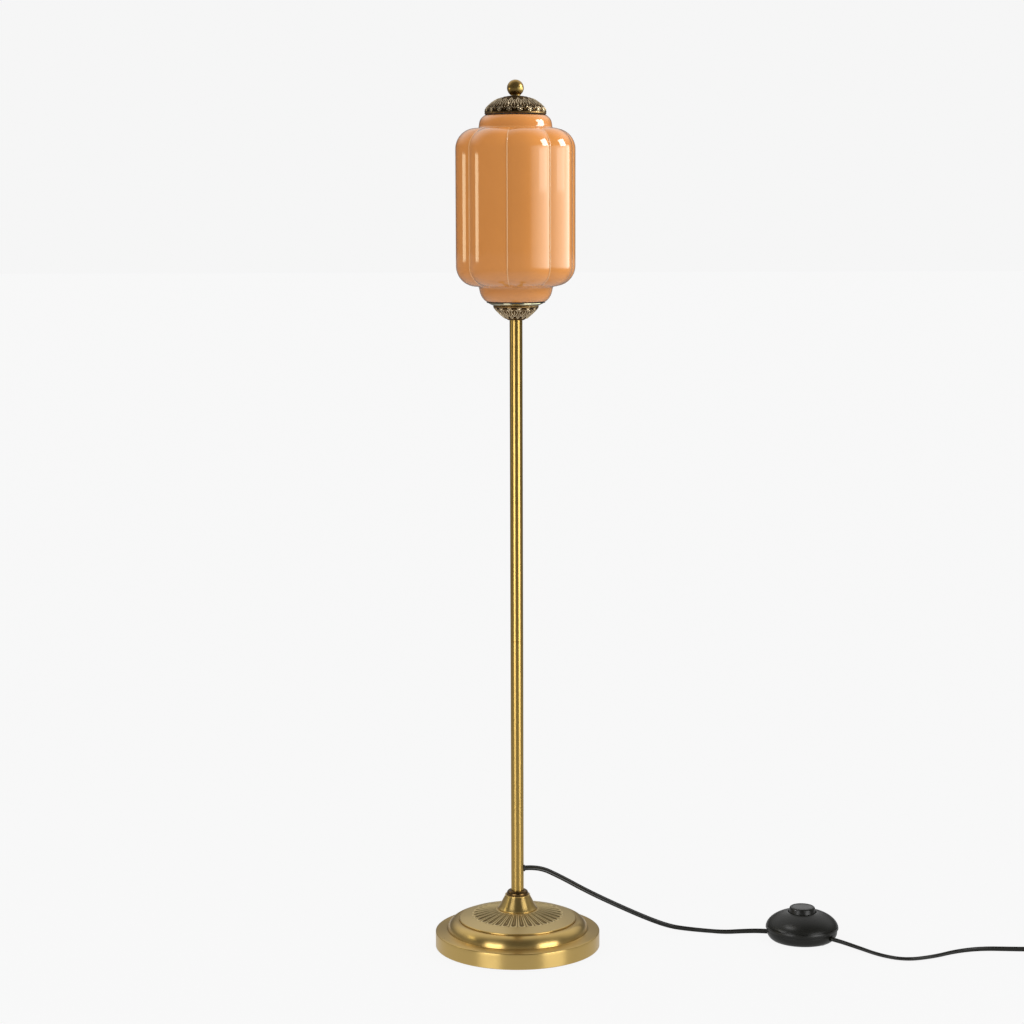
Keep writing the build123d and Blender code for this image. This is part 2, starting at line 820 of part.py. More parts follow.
with BuildPart() as switch_base:
    with BuildSketch(switch_upright):
        with BuildLine():
            Polyline(
                (switch_lower_radius, switch_seam),
                (0, switch_seam),
                (0, switch_lift),
                (switch_foot_radius, switch_lift),
            )
            ThreePointArc(
                (switch_foot_radius, switch_lift),
                (switch_lower_radius - 1.4, (switch_lift + switch_seam) / 2 - 1.0),
                (switch_lower_radius, switch_seam),
            )
        make_face()
    revolve(axis=switch_axis)
    with BuildSketch(switch_plane(floor_top)):
        Circle(switch_foot_radius - switch_wall / 2)
    extrude(amount=switch_seam, mode=Mode.SUBTRACT)
    with BuildSketch(switch_plane(floor_top)):
        with PolarLocations(screw_circle, 3, start_angle=screw_bearing):
            Circle(screw_boss_radius)
    extrude(amount=switch_seam - floor_top - seat_gap)
    with BuildSketch(switch_plane(switch_lift)):
        with PolarLocations(screw_circle, 3, start_angle=screw_bearing):
            Circle(screw_radius + slip_fit)
    extrude(amount=switch_seam, mode=Mode.SUBTRACT)
    with BuildSketch(switch_plane(switch_lift)):
        with PolarLocations(screw_circle, 3, start_angle=screw_bearing):
            Circle(screw_head_radius + slip_fit)
        with PolarLocations(pad_circle, 3, start_angle=screw_bearing + 60):
            Circle(pad_button_radius + slip_fit)
    extrude(amount=screw_head / 2, mode=Mode.SUBTRACT)
    for port in (port_in, port_out):
        with BuildSketch(port_plane(port, terminal_reach)):
            Circle(port_radius)
            with Locations((0, port_radius)):
                Rectangle(port_radius * 2, port_radius * 2)
        extrude(amount=switch_radius, mode=Mode.SUBTRACT)
save(switch_base.part, "switch_base")

with BuildPart() as switch_cover:
    with BuildSketch(switch_upright):
        with BuildLine():
            Polyline((0, dome_base + switch_dome), (0, cover_bottom), (switch_radius, cover_bottom))
            Line((switch_radius, cover_bottom), (switch_radius, dome_base))
            EllipticalCenterArc((0, dome_base), switch_radius, switch_dome, arc_size=90)
        make_face()
    revolve(axis=switch_axis)
    with BuildSketch(switch_upright):
        with BuildLine():
            span = switch_radius - switch_wall
            Polyline((0, dome_base + switch_dome - switch_wall), (0, cover_bottom), (span, cover_bottom))
            Line((span, cover_bottom), (span, dome_base))
            EllipticalCenterArc((0, dome_base), span, switch_dome - switch_wall, arc_size=90)
        make_face()
    revolve(axis=switch_axis, mode=Mode.SUBTRACT)
    with BuildSketch(switch_plane(cover_bottom)):
        Circle(button_hole_radius)
    extrude(amount=switch_dome * 2, mode=Mode.SUBTRACT)
    with BuildSketch(switch_plane(switch_seam)):
        with PolarLocations(screw_circle, 3, start_angle=screw_bearing):
            Circle(screw_boss_radius)
    extrude(until=Until.NEXT)
    with BuildSketch(switch_plane(switch_seam)):
        with PolarLocations(screw_circle, 3, start_angle=screw_bearing):
            Circle(screw_radius + thread_fit)
    extrude(amount=switch_skirt + screw_boss_radius, mode=Mode.SUBTRACT)
save(switch_cover.part, "switch_cover")

ceiling_share = button_flange_radius / (switch_radius - switch_wall)
flange_top = dome_base + (switch_dome - switch_wall) * sqrt(1 - ceiling_share**2) - seat_gap
button_ceiling = button_top - button_wall
with BuildPart() as switch_button:
    with BuildSketch(switch_upright):
        with BuildLine():
            Polyline(
                (0, button_top),
                (button_radius - button_edge, button_top),
                (button_radius, button_top - button_edge),
                (button_skirt_radius, flange_top),
                (button_flange_radius, flange_top),
                (button_flange_radius, flange_top - button_flange),
                (button_skirt_radius - button_wall, flange_top - button_flange),
                (button_radius - button_wall, button_ceiling),
                (0, button_ceiling),
                close=True,
            )
        make_face()
    revolve(axis=switch_axis)
save(switch_button.part, "switch_button")

module_top = floor_top + seat_gap + module_height
with BuildPart() as switch_module:
    with BuildSketch(switch_plane(floor_top + seat_gap)):
        Circle(module_radius)
    extrude(amount=module_height)
    with BuildSketch(switch_plane(floor_top + seat_gap)):
        for bearing in (port_in_bearing, port_out_bearing):
            with Locations(Location((0, 0, 0), (0, 0, bearing))):
                Rectangle(terminal_reach, terminal_width, align=(Align.MIN, Align.CENTER))
    extrude(amount=terminal_height)
    with BuildSketch(switch_plane(module_top)):
        Circle(plunger_radius)
    extrude(amount=button_ceiling - button_travel - seat_gap - module_top)
save(switch_module.part, "switch_module")

with BuildPart() as switch_screws:
    with BuildSketch(switch_plane(switch_lift)):
        with PolarLocations(screw_circle, 3, start_angle=screw_bearing):
            Circle(screw_head_radius)
    extrude(amount=screw_head / 2)
    with BuildSketch(switch_plane(switch_lift)):
        with PolarLocations(screw_circle, 3, start_angle=screw_bearing):
            Circle(screw_radius)
    extrude(amount=switch_seam + screw_boss_radius)
save(switch_screws.part, "switch_screws")

with BuildPart() as switch_pads:
    with BuildSketch(switch_plane(0)):
        with PolarLocations(pad_circle, 3, start_angle=screw_bearing + 60):
            Circle(pad_button_radius)
    extrude(amount=switch_lift + screw_head / 2)
save(switch_pads.part, "switch_pads")

with BuildPart() as cord_clamps:
    for port in (port_in, port_out):
        foot_drop = port[1] - floor_top
        with BuildSketch(port_plane(port, clamp_circle - clamp_length / 2)):
            with Locations((0, -foot_drop)):
                Rectangle(
                    clamp_width,
                    foot_drop + cord_radius + clamp_cover,
                    align=(Align.CENTER, Align.MIN),
                )
            Circle(cord_radius + slip_fit, mode=Mode.SUBTRACT)
        extrude(amount=clamp_length)
save(cord_clamps.part, "cord_clamps")


# Wound and hanging forms: tangent arcs through chosen points


def add_biarcs(points, ways):
    """Two tangent arcs between each pair of points, each pair with its own directions."""
    for start, end, leave, arrive in zip(points, points[1:], ways, ways[1:]):
        chord = end - start
        lean = chord.dot(leave + arrive)
        spread = 2 * (1 - leave.dot(arrive))
        if abs(spread) < 1e-9:
            reach = chord.length**2 / (4 * chord.dot(arrive))
        else:
            reach = (sqrt(lean**2 + spread * chord.length**2) - lean) / spread
        middle = (start + end + (leave - arrive) * reach) / 2
        first = TangentArc(start, middle, tangent=leave)
        TangentArc(middle, end, tangent=first % 1)


def least_gap(wire, diameter, steps):
    """Least space between a wound tube and itself, turns apart, from points along its middle."""
    length = wire.length
    points = [wire @ (k / steps) for k in range(steps + 1)]
    near = int(4 * diameter / length * steps)
    gaps = [
        (points[i] - points[j]).length
        for i in range(len(points))
        for j in range(i + near, len(points))
    ]
    return min(gaps) - diameter


# Return spring round the contact block's plunger
spring_bottom = module_top + spring_wire / 2 + seat_gap
spring_top = button_ceiling - spring_wire / 2 - seat_gap
spring_rise = spring_top - spring_bottom
spring_points = []
spring_ways = []
for quarter in range(spring_turns * 4 + 1):
    angle = quarter * pi / 2
    height = spring_bottom + spring_rise * quarter / (spring_turns * 4)
    spring_points.append(
        Vector(switch_x + spring_radius * cos(angle), switch_y + spring_radius * sin(angle), height)
    )
    slope = spring_rise / (spring_turns * 2 * pi * spring_radius)
    spring_ways.append(Vector(-sin(angle), cos(angle), slope).normalized())
with BuildPart() as switch_spring:
    with BuildLine() as spring_path:
        add_biarcs(spring_points, spring_ways)
    with BuildSketch(Plane(origin=spring_path.line @ 0, z_dir=spring_path.line % 0)):
        Circle(spring_wire / 2)
    sweep()
save(switch_spring.part, "switch_spring")


# Free stretches of the cord


def bend_radii(points):
    """The largest radius that each corner of a route leaves room for."""
    radii = []
    for before, corner, after in zip(points, points[1:], points[2:]):
        arrive = Vector(*corner) - Vector(*before)
        leave = Vector(*after) - Vector(*corner)
        turn = radians(arrive.get_angle(leave))
        radii.append(0.45 * min(arrive.length, leave.length) / tan(turn / 2))
    return radii


def cord_tube(points, name):
    """A round tube along straight runs joined by arcs."""
    radii = bend_radii(points)
    print(name, "radii", [round(radius) for radius in radii])
    with BuildPart() as made:
        with BuildLine() as path:
            route = FilletPolyline(*points, radius=radii)
        with BuildSketch(Plane(origin=route @ 0, z_dir=route % 0)):
            Circle(cord_radius)
        sweep()
    expected = pi * cord_radius**2 * route.length
    print(name, "length", round(route.length, 1), "volume share", round(made.part.volume / expected, 4))
    save(made.part, name)
    return route.length


on_floor = cord_radius
in_way = port_plane(port_in, 0).z_dir
out_way = port_plane(port_out, 0).z_dir
in_end = port_plane(port_in, terminal_reach).origin
out_start = port_plane(port_out, terminal_reach).origin
cord_exit = cord_way * bush_outer + Vector(0, 0, cord_height)
coil_entry = Vector(coil_x - cord_diameter, coil_y - coil_start_radius, on_floor)

to_switch = [
    tuple(cord_exit),
    tuple(cord_exit + cord_way * 22),
    (62, 17.5, 104),
    (108, 29.5, 75),
    (160, 44, 46),
    (205, 57, 22.5),
    (237, 66, 8.5),
    (266, 68, on_floor),
    (293, 59, on_floor),
    (320, 52, on_floor),
    (349, 53, 5),
    tuple(in_end + in_way * terminal_reach),
    tuple(in_end),
]
from_switch = [
    tuple(out_start),
    tuple(out_start + out_way * terminal_reach),
    (512, -30, 5),
    (541, -66, on_floor),
    (576, -88, on_floor),
    (620, -73, on_floor),
    (658, -47, on_floor),
    (699, -34, on_floor),
    (742, -37, on_floor),
    (785, -39.2, on_floor),
    (coil_entry.X - 20, coil_entry.Y, on_floor),
    tuple(coil_entry),
]
first_length = cord_tube(to_switch, "cord_to_switch")
second_length = cord_tube(from_switch, "cord_from_switch")

# Coil: in by a steady spiral, up a layer where it turns, and out again, then a tail to the plug
coil_points = [coil_entry]
coil_ways = [Vector(1, 0, 0)]
turns = coil_turns_in + coil_turns_out
quarters = round(turns * 4)
reversal = round(coil_turns_in * 4)
inner_radius = coil_start_radius - coil_pitch * coil_turns_in
for quarter in range(quarters + 1):
    angle = radians(-90 + 90 * quarter)
    past = quarter - reversal
    radius = inner_radius + coil_pitch * abs(past) / 4
    layer = min(max(past + 1, 0), 2) / 2
    height = on_floor + coil_pitch * layer
    drift = 0.0 if quarter in (0, reversal, quarters) else coil_pitch / (2 * pi) * (1 if past > 0 else -1)
    climb = 1.5 * coil_pitch / (pi * inner_radius) if past == 0 else 0.0
    outward = Vector(cos(angle), sin(angle), 0)
    along = Vector(-sin(angle), cos(angle), 0)
    coil_points.append(Vector(coil_x, coil_y, height) + outward * radius)
    coil_ways.append((along + outward * (drift / radius) + Vector(0, 0, climb)).normalized())
last_way = coil_ways[-1]
tail_side = Vector(last_way.Y, -last_way.X, 0)
tail_end = coil_points[-1] + last_way * tail_length + tail_side * tail_spread
tail_end = Vector(tail_end.X, tail_end.Y, plug_centre_height)
cord_end = tail_end + last_way * cord_diameter
with BuildPart() as cord_coil:
    with BuildLine() as coil_path:
        Line(coil_points[0], coil_points[1])
        add_biarcs(coil_points[1:] + [tail_end], coil_ways[1:] + [last_way])
        Line(tail_end, cord_end)
    coil_wire = coil_path.wire()
    with BuildSketch(Plane(origin=coil_wire @ 0, z_dir=coil_wire % 0)):
        Circle(cord_radius)
    sweep()
coil_length = coil_wire.length
print("coil length", round(coil_length, 1), "least gap", round(least_gap(coil_wire, cord_diameter, 800), 3))
print("coil volume share", round(cord_coil.part.volume / (pi * cord_radius**2 * coil_length), 4))
print("cord length in all", round(first_length + second_length + coil_length))
save(cord_coil.part, "cord_coil")

# Plug: tapered relief, moulded body and two flat blades
plug_x = Vector(last_way.Y, -last_way.X, 0)
plug_plane = Plane(origin=cord_end, x_dir=plug_x, z_dir=last_way)
with BuildPart() as plug_body:
    with BuildSketch(plug_plane):
        Circle(cord_radius + 0.9)
    with BuildSketch(plug_plane.offset(plug_relief_length)):
        RectangleRounded(plug_width, plug_thickness, plug_thickness * 0.42)
    loft()
    with BuildSketch(plug_plane.offset(plug_relief_length)):
        RectangleRounded(plug_width, plug_thickness, plug_thickness * 0.42)
    with BuildSketch(plug_plane.offset(plug_relief_length + plug_body_length)):
        RectangleRounded(plug_nose_width, plug_thickness * 0.8, plug_thickness * 0.3)
    loft()
save(plug_body.part, "plug_body")

with BuildPart() as plug_blades:
    with BuildSketch(plug_plane.offset(plug_relief_length + plug_body_length)):
        with GridLocations(blade_spacing, 1, 2, 1):
            Rectangle(blade_thickness, blade_width)
    extrude(amount=blade_length)
save(plug_blades.part, "plug_blades")
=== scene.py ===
"""Looks of the glass floor lamp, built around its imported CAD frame. Lengths are in metres, and in millimetres for
the outlines of the turned pieces and the shade."""

import math

import bpy
import numpy as np
from mathutils import Matrix, Vector


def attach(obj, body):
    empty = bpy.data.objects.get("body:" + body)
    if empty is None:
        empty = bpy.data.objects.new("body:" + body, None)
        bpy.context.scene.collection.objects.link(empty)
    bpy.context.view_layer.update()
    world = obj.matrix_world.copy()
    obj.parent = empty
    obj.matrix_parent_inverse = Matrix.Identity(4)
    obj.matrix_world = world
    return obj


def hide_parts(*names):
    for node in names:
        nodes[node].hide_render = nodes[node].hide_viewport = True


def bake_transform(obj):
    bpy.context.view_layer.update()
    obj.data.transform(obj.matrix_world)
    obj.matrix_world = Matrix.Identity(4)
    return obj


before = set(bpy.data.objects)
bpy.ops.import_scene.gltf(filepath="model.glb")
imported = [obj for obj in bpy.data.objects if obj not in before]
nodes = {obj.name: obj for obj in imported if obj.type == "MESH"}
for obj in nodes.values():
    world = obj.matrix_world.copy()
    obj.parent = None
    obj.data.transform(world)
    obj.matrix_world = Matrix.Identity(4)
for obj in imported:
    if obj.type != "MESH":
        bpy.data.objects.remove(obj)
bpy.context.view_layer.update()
collection = bpy.context.scene.collection

# camera and studio

LENS_MM = 83.74
CAMERA_AT = (-0.0067, -3.512, 1.108)
CAMERA_PITCH = math.radians(7.2)
CAMERA_ROLL = math.radians(-0.166)
PAPER = (0.921, 0.921, 0.921)
FLOOR_GLOW = (0.950, 0.950, 0.950)
FLOOR_PAPER = (0.60, 0.60, 0.60)
FLOOR_SHARE = 0.95
AMBIENT = 1.22
# what the pieces mirror: a dim room with a pale wall that begins above and behind them, and the floor's paper, which
# gets darker from NEAR to FAR
MIRRORED_ROOM, MIRRORED_WALL = 0.10, 0.85
WALL_RISE, WALL_DEPTH = (0.1, 0.6), (-0.3, 0.6)
MIRRORED_NEAR, MIRRORED_FAR = 0.66, 0.22
NEAR, FAR = 0.5, 2.5
FLOOR_HALF = 40.0


def make_camera():
    data = bpy.data.cameras.new("camera")
    data.lens = LENS_MM
    data.clip_end = 200.0
    camera = bpy.data.objects.new("camera", data)
    collection.objects.link(camera)
    tilt = Matrix.Rotation(math.pi / 2 - CAMERA_PITCH, 4, "X")
    camera.matrix_world = Matrix.Translation(CAMERA_AT) @ tilt @ Matrix.Rotation(CAMERA_ROLL, 4, "Z")
    bpy.context.scene.camera = camera


def node_maker(tree):
    """A short way to add a node, set its values and link its inputs."""

    def add(kind, values=None, **settings):
        node = tree.nodes.new(kind)
        for key, value in settings.items():
            setattr(node, key, value)
        for key, value in (values or {}).items():
            if isinstance(value, bpy.types.NodeSocket):
                tree.links.new(value, node.inputs[key])
            else:
                node.inputs[key].default_value = value
        return node

    return add


def panel(name, bearing, rise, distance, size, radiance, aim, edge, ramp=1.0, color=(1, 1, 1)):
    """A soft box round the lamp, which fades over the shares edge of its half width and half height. Bearing 0 is
    the camera's side, and positive is to the right. radiance 1 is white. ramp is the share of it at the end that
    is nearer to the camera."""
    turn, lift = math.radians(bearing), math.radians(rise)
    way = Vector((math.sin(turn) * math.cos(lift), -math.cos(turn) * math.cos(lift), math.sin(lift)))
    data = bpy.data.lights.new(name, "AREA")
    data.shape = "RECTANGLE"
    data.size, data.size_y = size
    data.energy = 4 * size[0] * size[1] * radiance
    data.use_nodes = True
    tree = data.node_tree
    tree.nodes.clear()
    add = node_maker(tree)
    place = add("ShaderNodeNewGeometry").outputs["Parametric"]
    split = add("ShaderNodeSeparateXYZ", {0: place}).outputs
    level = add("ShaderNodeMapRange", {0: split["X"], 3: ramp, 4: 1.0}, interpolation_type="SMOOTHSTEP").outputs[0]
    for axis, share in zip("XY", edge):
        middle = add("ShaderNodeMath", {0: split[axis], 1: 0.5}, operation="SUBTRACT")
        away = add("ShaderNodeMath", {0: middle.outputs[0]}, operation="ABSOLUTE")
        fade = add("ShaderNodeMapRange", {0: away.outputs[0], 1: 0.5, 2: 0.5 - 0.5 * share, 3: 0.0, 4: 1.0},
                   interpolation_type="SMOOTHSTEP")
        level = add("ShaderNodeMath", {0: fade.outputs[0], 1: level}, operation="MULTIPLY").outputs[0]
    glow = add("ShaderNodeEmission", {"Color": (*color, 1), "Strength": level})
    out = add("ShaderNodeOutputLight")
    tree.links.new(glow.outputs[0], out.inputs["Surface"])
    light = bpy.data.objects.new(name, data)
    collection.objects.link(light)
    light.visible_camera = False
    light.location = Vector(aim) + way * distance
    light.rotation_euler = (-way).to_track_quat("-Z", "Y").to_euler()
    return light


def flag_off(light, pieces, others=False):
    """Keeps a lamp's light off these pieces, or off all the others, as a flag does in a studio."""
    listed = bpy.data.collections.new(light.name + "_pieces")
    for piece in pieces:
        listed.objects.link(piece)
    if not others:
        for entry in listed.collection_objects:
            entry.light_linking.link_state = "EXCLUDE"
    light.light_linking.receiver_collection = listed


def make_world():
    """White to the camera, an even light on the pieces, and the room and its wall in what they mirror."""
    world = bpy.data.worlds.new("studio")
    bpy.context.scene.world = world
    world.use_nodes = True
    tree = world.node_tree
    tree.nodes.clear()
    add = node_maker(tree)
    rays = add("ShaderNodeLightPath").outputs
    seen = add("ShaderNodeMath", {0: rays["Is Camera Ray"], 1: rays["Is Transmission Ray"]}, operation="MAXIMUM")
    direction = add("ShaderNodeTexCoord").outputs["Generated"]
    split = add("ShaderNodeSeparateXYZ", {0: direction}).outputs
    up, behind = (
        add("ShaderNodeMapRange", {0: split[axis], 1: low, 2: high}, interpolation_type="SMOOTHSTEP").outputs[0]
        for axis, (low, high) in (("Z", WALL_RISE), ("Y", WALL_DEPTH))
    )
    wall = add("ShaderNodeMath", {0: up, 1: behind}, operation="MULTIPLY").outputs[0]
    mirrored = add("ShaderNodeMapRange", {0: wall, 3: MIRRORED_ROOM, 4: MIRRORED_WALL})
    level = add("ShaderNodeMapRange", {0: rays["Is Glossy Ray"], 3: AMBIENT, 4: mirrored.outputs[0]})
    strength = add("ShaderNodeMix", {0: seen.outputs[0], 2: level.outputs[0], 3: 1.0}, data_type="FLOAT")
    shade = add("ShaderNodeBackground", {"Color": (*PAPER, 1), "Strength": strength.outputs[0]})
    out = add("ShaderNodeOutputWorld")
    tree.links.new(shade.outputs[0], out.inputs["Surface"])


def make_floor():
    """Pale paper that glows a little for the camera, so that it fades into the background and keeps the shadow."""
    corners = [(x * FLOOR_HALF, y * FLOOR_HALF, 0) for x, y in ((-1, -1), (1, -1), (1, 1), (-1, 1))]
    mesh = bpy.data.meshes.new("floor")
    mesh.from_pydata(corners, [], [(0, 1, 2, 3)])
    floor = bpy.data.objects.new("floor", mesh)
    collection.objects.link(floor)
    material = bpy.data.materials.new("floor_paper")
    material.use_nodes = True
    tree = material.node_tree
    tree.nodes.clear()
    add = node_maker(tree)
    rays = add("ShaderNodeLightPath").outputs
    seen = add("ShaderNodeMath", {0: rays["Is Camera Ray"], 1: rays["Is Transmission Ray"]}, operation="MAXIMUM")
    both = add("ShaderNodeMath", {0: seen.outputs[0], 1: rays["Is Glossy Ray"]}, operation="MAXIMUM")
    place = add("ShaderNodeTexCoord").outputs["Object"]
    away = add("ShaderNodeVectorMath", {0: place}, operation="LENGTH").outputs["Value"]
    mirrored = add("ShaderNodeMapRange", {0: away, 1: NEAR, 2: FAR, 3: MIRRORED_NEAR, 4: MIRRORED_FAR}).outputs[0]
    level = add("ShaderNodeMapRange", {0: rays["Is Glossy Ray"], 3: 1.0, 4: mirrored}).outputs[0]
    paper_tint = add("ShaderNodeVectorMath", {0: FLOOR_PAPER, "Scale": level}, operation="SCALE")
    paper = add("ShaderNodeBsdfDiffuse", {"Color": paper_tint.outputs[0]})
    glow = add("ShaderNodeEmission", {"Color": (*FLOOR_GLOW, 1), "Strength": level})
    share = add("ShaderNodeMath", {0: both.outputs[0], 1: FLOOR_SHARE}, operation="MULTIPLY")
    mixed = add("ShaderNodeMixShader", {0: share.outputs[0], 1: paper.outputs[0], 2: glow.outputs[0]})
    out = add("ShaderNodeOutputMaterial")
    tree.links.new(mixed.outputs[0], out.inputs["Surface"])
    mesh.materials.append(material)


make_camera()
make_world()
make_floor()
WINDOW_TINT, STRIP_TINT = (0.86, 1.0, 0.95), (1.0, 0.95, 0.67)
SWITCH_PLACE = (0.436, 0.03, 0.03)
upper_lamps = [
    panel("key_window", 88, 22, 1.5, (0.72, 0.72), 6.5, aim=(0, 0, 1.2), edge=(0.12, 0.12)),
    panel("wide_right", 75, 0, 1.5, (4.2, 1.0), 2.7, aim=(0, 0, 1.17), edge=(0.4, 0.6), ramp=0.08, color=WINDOW_TINT),
    panel("step_right", 76, 0, 1.5, (0.95, 0.16), 0.9, aim=(0, 0, 1.222), edge=(0.1, 0.15), color=WINDOW_TINT),
]
lower_lamps = [
    panel("low_right", 50, 0, 2.0, (1.35, 1.2), 4.0, aim=(0, 0, 0.36), edge=(0.35, 0.25)),
    panel("low_left", -38, 0, 2.0, (1.2, 1.2), 3.7, aim=(0, 0, 0.36), edge=(0.35, 0.25)),
]
panel("strip_left", -92, 0, 1.6, (0.48, 0.31), 2.4, aim=(0, 0, 1.115), edge=(0.15, 0.12), color=STRIP_TINT)
switch_lamps = [
    panel("switch_left", -73, 19, 1.3, (0.5, 0.42), 13.0, aim=SWITCH_PLACE, edge=(0.9, 0.9)),
    panel("switch_edge", -80, 62, 1.3, (0.6, 0.5), 7.0, aim=SWITCH_PLACE, edge=(0.7, 0.7)),
    panel("switch_back", 173, 18, 2.4, (1.3, 0.8), 0.8, aim=(0.436, 0.03, 0.05), edge=(0.6, 0.6)),
]

# materials


def principled(name, values):
    material = bpy.data.materials.new(name)
    material.use_nodes = True
    tree = material.node_tree
    tree.nodes.clear()
    add = node_maker(tree)
    shader = add("ShaderNodeBsdfPrincipled", values)
    out = add("ShaderNodeOutputMaterial")
    tree.links.new(shader.outputs[0], out.inputs["Surface"])
    return material, add, shader


def feed(material, shader, socket, source):
    material.node_tree.links.new(source, shader.inputs[socket])


def grainy(name, dark, light, roughness, scale, stretch=(1, 1, 1), bump=0.05, depth=0.00005, **constants):
    """A material whose colour, roughness and bump vary with a fine grain."""
    values = {key.replace("_", " "): value for key, value in constants.items()}
    material, add, shader = principled(name, values)
    place = add("ShaderNodeTexCoord").outputs["Object"]
    mapped = add("ShaderNodeMapping", {"Vector": place, "Scale": stretch}).outputs[0]
    fine = add("ShaderNodeTexNoise", {"Vector": mapped, "Scale": scale, "Detail": 5.0, "Roughness": 0.6}).outputs
    broad = add("ShaderNodeTexNoise", {"Vector": place, "Scale": 35.0, "Detail": 2.0}).outputs
    both = add("ShaderNodeMix", {0: 0.35, 2: fine[0], 3: broad[0]}, data_type="FLOAT")
    tint = add("ShaderNodeMix", {0: both.outputs[0], 6: (*dark, 1), 7: (*light, 1)}, data_type="RGBA")
    feed(material, shader, "Base Color", tint.outputs[2])
    low, high = roughness
    rough = add("ShaderNodeMapRange", {0: fine[0], 1: 0.3, 2: 0.7, 3: low, 4: high})
    feed(material, shader, "Roughness", rough.outputs[0])
    if bump:
        relief = add("ShaderNodeBump", {"Strength": bump, "Distance": depth, "Height": fine[0]})
        feed(material, shader, "Normal", relief.outputs[0])
    return material


ACROSS_BRUSHING = 0.25
BRUSH_LINES = 1500.0
# the dark colour for the relief's hollows is patina and painted shade; the pale colour for its tops is wear and a
# painted highlight
PATINA_AND_SHADE, WORN_TOP_AND_HIGHLIGHT = (0.085, 0.048, 0.016, 1), (0.86, 0.72, 0.42, 1)


def brushed(name, dark, light, roughness, **constants):
    """Metal brushed round the axis. Where a relief was pressed in, its hollows are darkened with patina and painted
    shade, and its tops are lightened as worn brass and with a painted highlight."""
    values = {key.replace("_", " "): value for key, value in constants.items()}
    material, add, shader = principled(name, {"Metallic": 1.0, **values})
    place = add("ShaderNodeTexCoord").outputs["Object"]
    split = add("ShaderNodeSeparateXYZ", {0: place}).outputs
    flat = add("ShaderNodeCombineXYZ", {0: split["X"], 1: split["Y"]}).outputs[0]
    radius = add("ShaderNodeVectorMath", {0: flat}, operation="LENGTH").outputs["Value"]
    turned_at = add("ShaderNodeCombineXYZ", {0: radius, 1: split["Z"]}).outputs[0]
    lines = add("ShaderNodeTexNoise", {"Vector": turned_at, "Scale": BRUSH_LINES, "Detail": 2.0}).outputs[0]
    broad = add("ShaderNodeTexNoise", {"Vector": place, "Scale": 30.0, "Detail": 2.0}).outputs[0]
    both = add("ShaderNodeMix", {0: 0.7, 2: lines, 3: broad}, data_type="FLOAT").outputs[0]
    tint = add("ShaderNodeMix", {0: both, 6: (*dark, 1), 7: (*light, 1)}, data_type="RGBA").outputs[2]
    # the raised height paints shade into the hollows and a highlight onto the tops, together with patina and wear
    raised = add("ShaderNodeAttribute", attribute_name="raised").outputs["Fac"]
    hollow = add("ShaderNodeMapRange", {0: raised, 1: -0.06, 2: -0.5, 3: 0.0, 4: 0.72}).outputs[0]
    patina_and_shade = add("ShaderNodeMix", {0: hollow, 6: tint, 7: PATINA_AND_SHADE}, data_type="RGBA").outputs[2]
    top = add("ShaderNodeMapRange", {0: raised, 1: 0.1, 2: 0.6, 3: 0.0, 4: 0.75}).outputs[0]
    wear_and_light = add("ShaderNodeMix", {0: top, 6: patina_and_shade, 7: WORN_TOP_AND_HIGHLIGHT}, data_type="RGBA").outputs[2]
    feed(material, shader, "Base Color", wear_and_light)
    rough = add("ShaderNodeMapRange", {0: both, 1: 0.3, 2: 0.7, 3: roughness[0], 4: roughness[1]}).outputs[0]
    feed(material, shader, "Roughness", rough)
    relief = add("ShaderNodeBump", {"Strength": 0.006, "Distance": 0.00002, "Height": lines}).outputs[0]
    feed(material, shader, "Normal", relief)
    around = add("ShaderNodeTangent", direction_type="RADIAL", axis="Z").outputs[0]
    feed(material, shader, "Tangent", around)
    return material


satin_brass = brushed("satin_brass", (0.50, 0.325, 0.085), (0.58, 0.39, 0.12), (0.26, 0.32), Anisotropic=0.8,
                      Anisotropic_Rotation=ACROSS_BRUSHING)
base_brass = brushed("base_brass", (0.66, 0.45, 0.145), (0.74, 0.52, 0.19), (0.27, 0.33), Anisotropic=0.85,
                     Anisotropic_Rotation=ACROSS_BRUSHING)
petal_brass = brushed("petal_brass", (0.60, 0.455, 0.21), (0.68, 0.53, 0.26), (0.40, 0.48))
polished_brass = grainy("polished_brass", (0.55, 0.50, 0.32), (0.62, 0.56, 0.37), (0.04, 0.08), 400.0,
                        Metallic=1.0)
antique_brass = grainy("antique_brass", (0.44, 0.27, 0.08), (0.56, 0.36, 0.12), (0.26, 0.34), 300.0,
                       Metallic=1.0)
dark_brass = grainy("dark_brass", (0.10, 0.06, 0.02), (0.22, 0.13, 0.05), (0.2, 0.35), 600.0, Metallic=1.0)


OPAL_DEEP, OPAL_PALE = (0.575, 0.222, 0.053, 1), (0.625, 0.248, 0.062, 1)
# painted highlight: the pale colour laid along the beads in the creases
OPAL_CREASE_HIGHLIGHT = (0.82, 0.50, 0.25, 1)


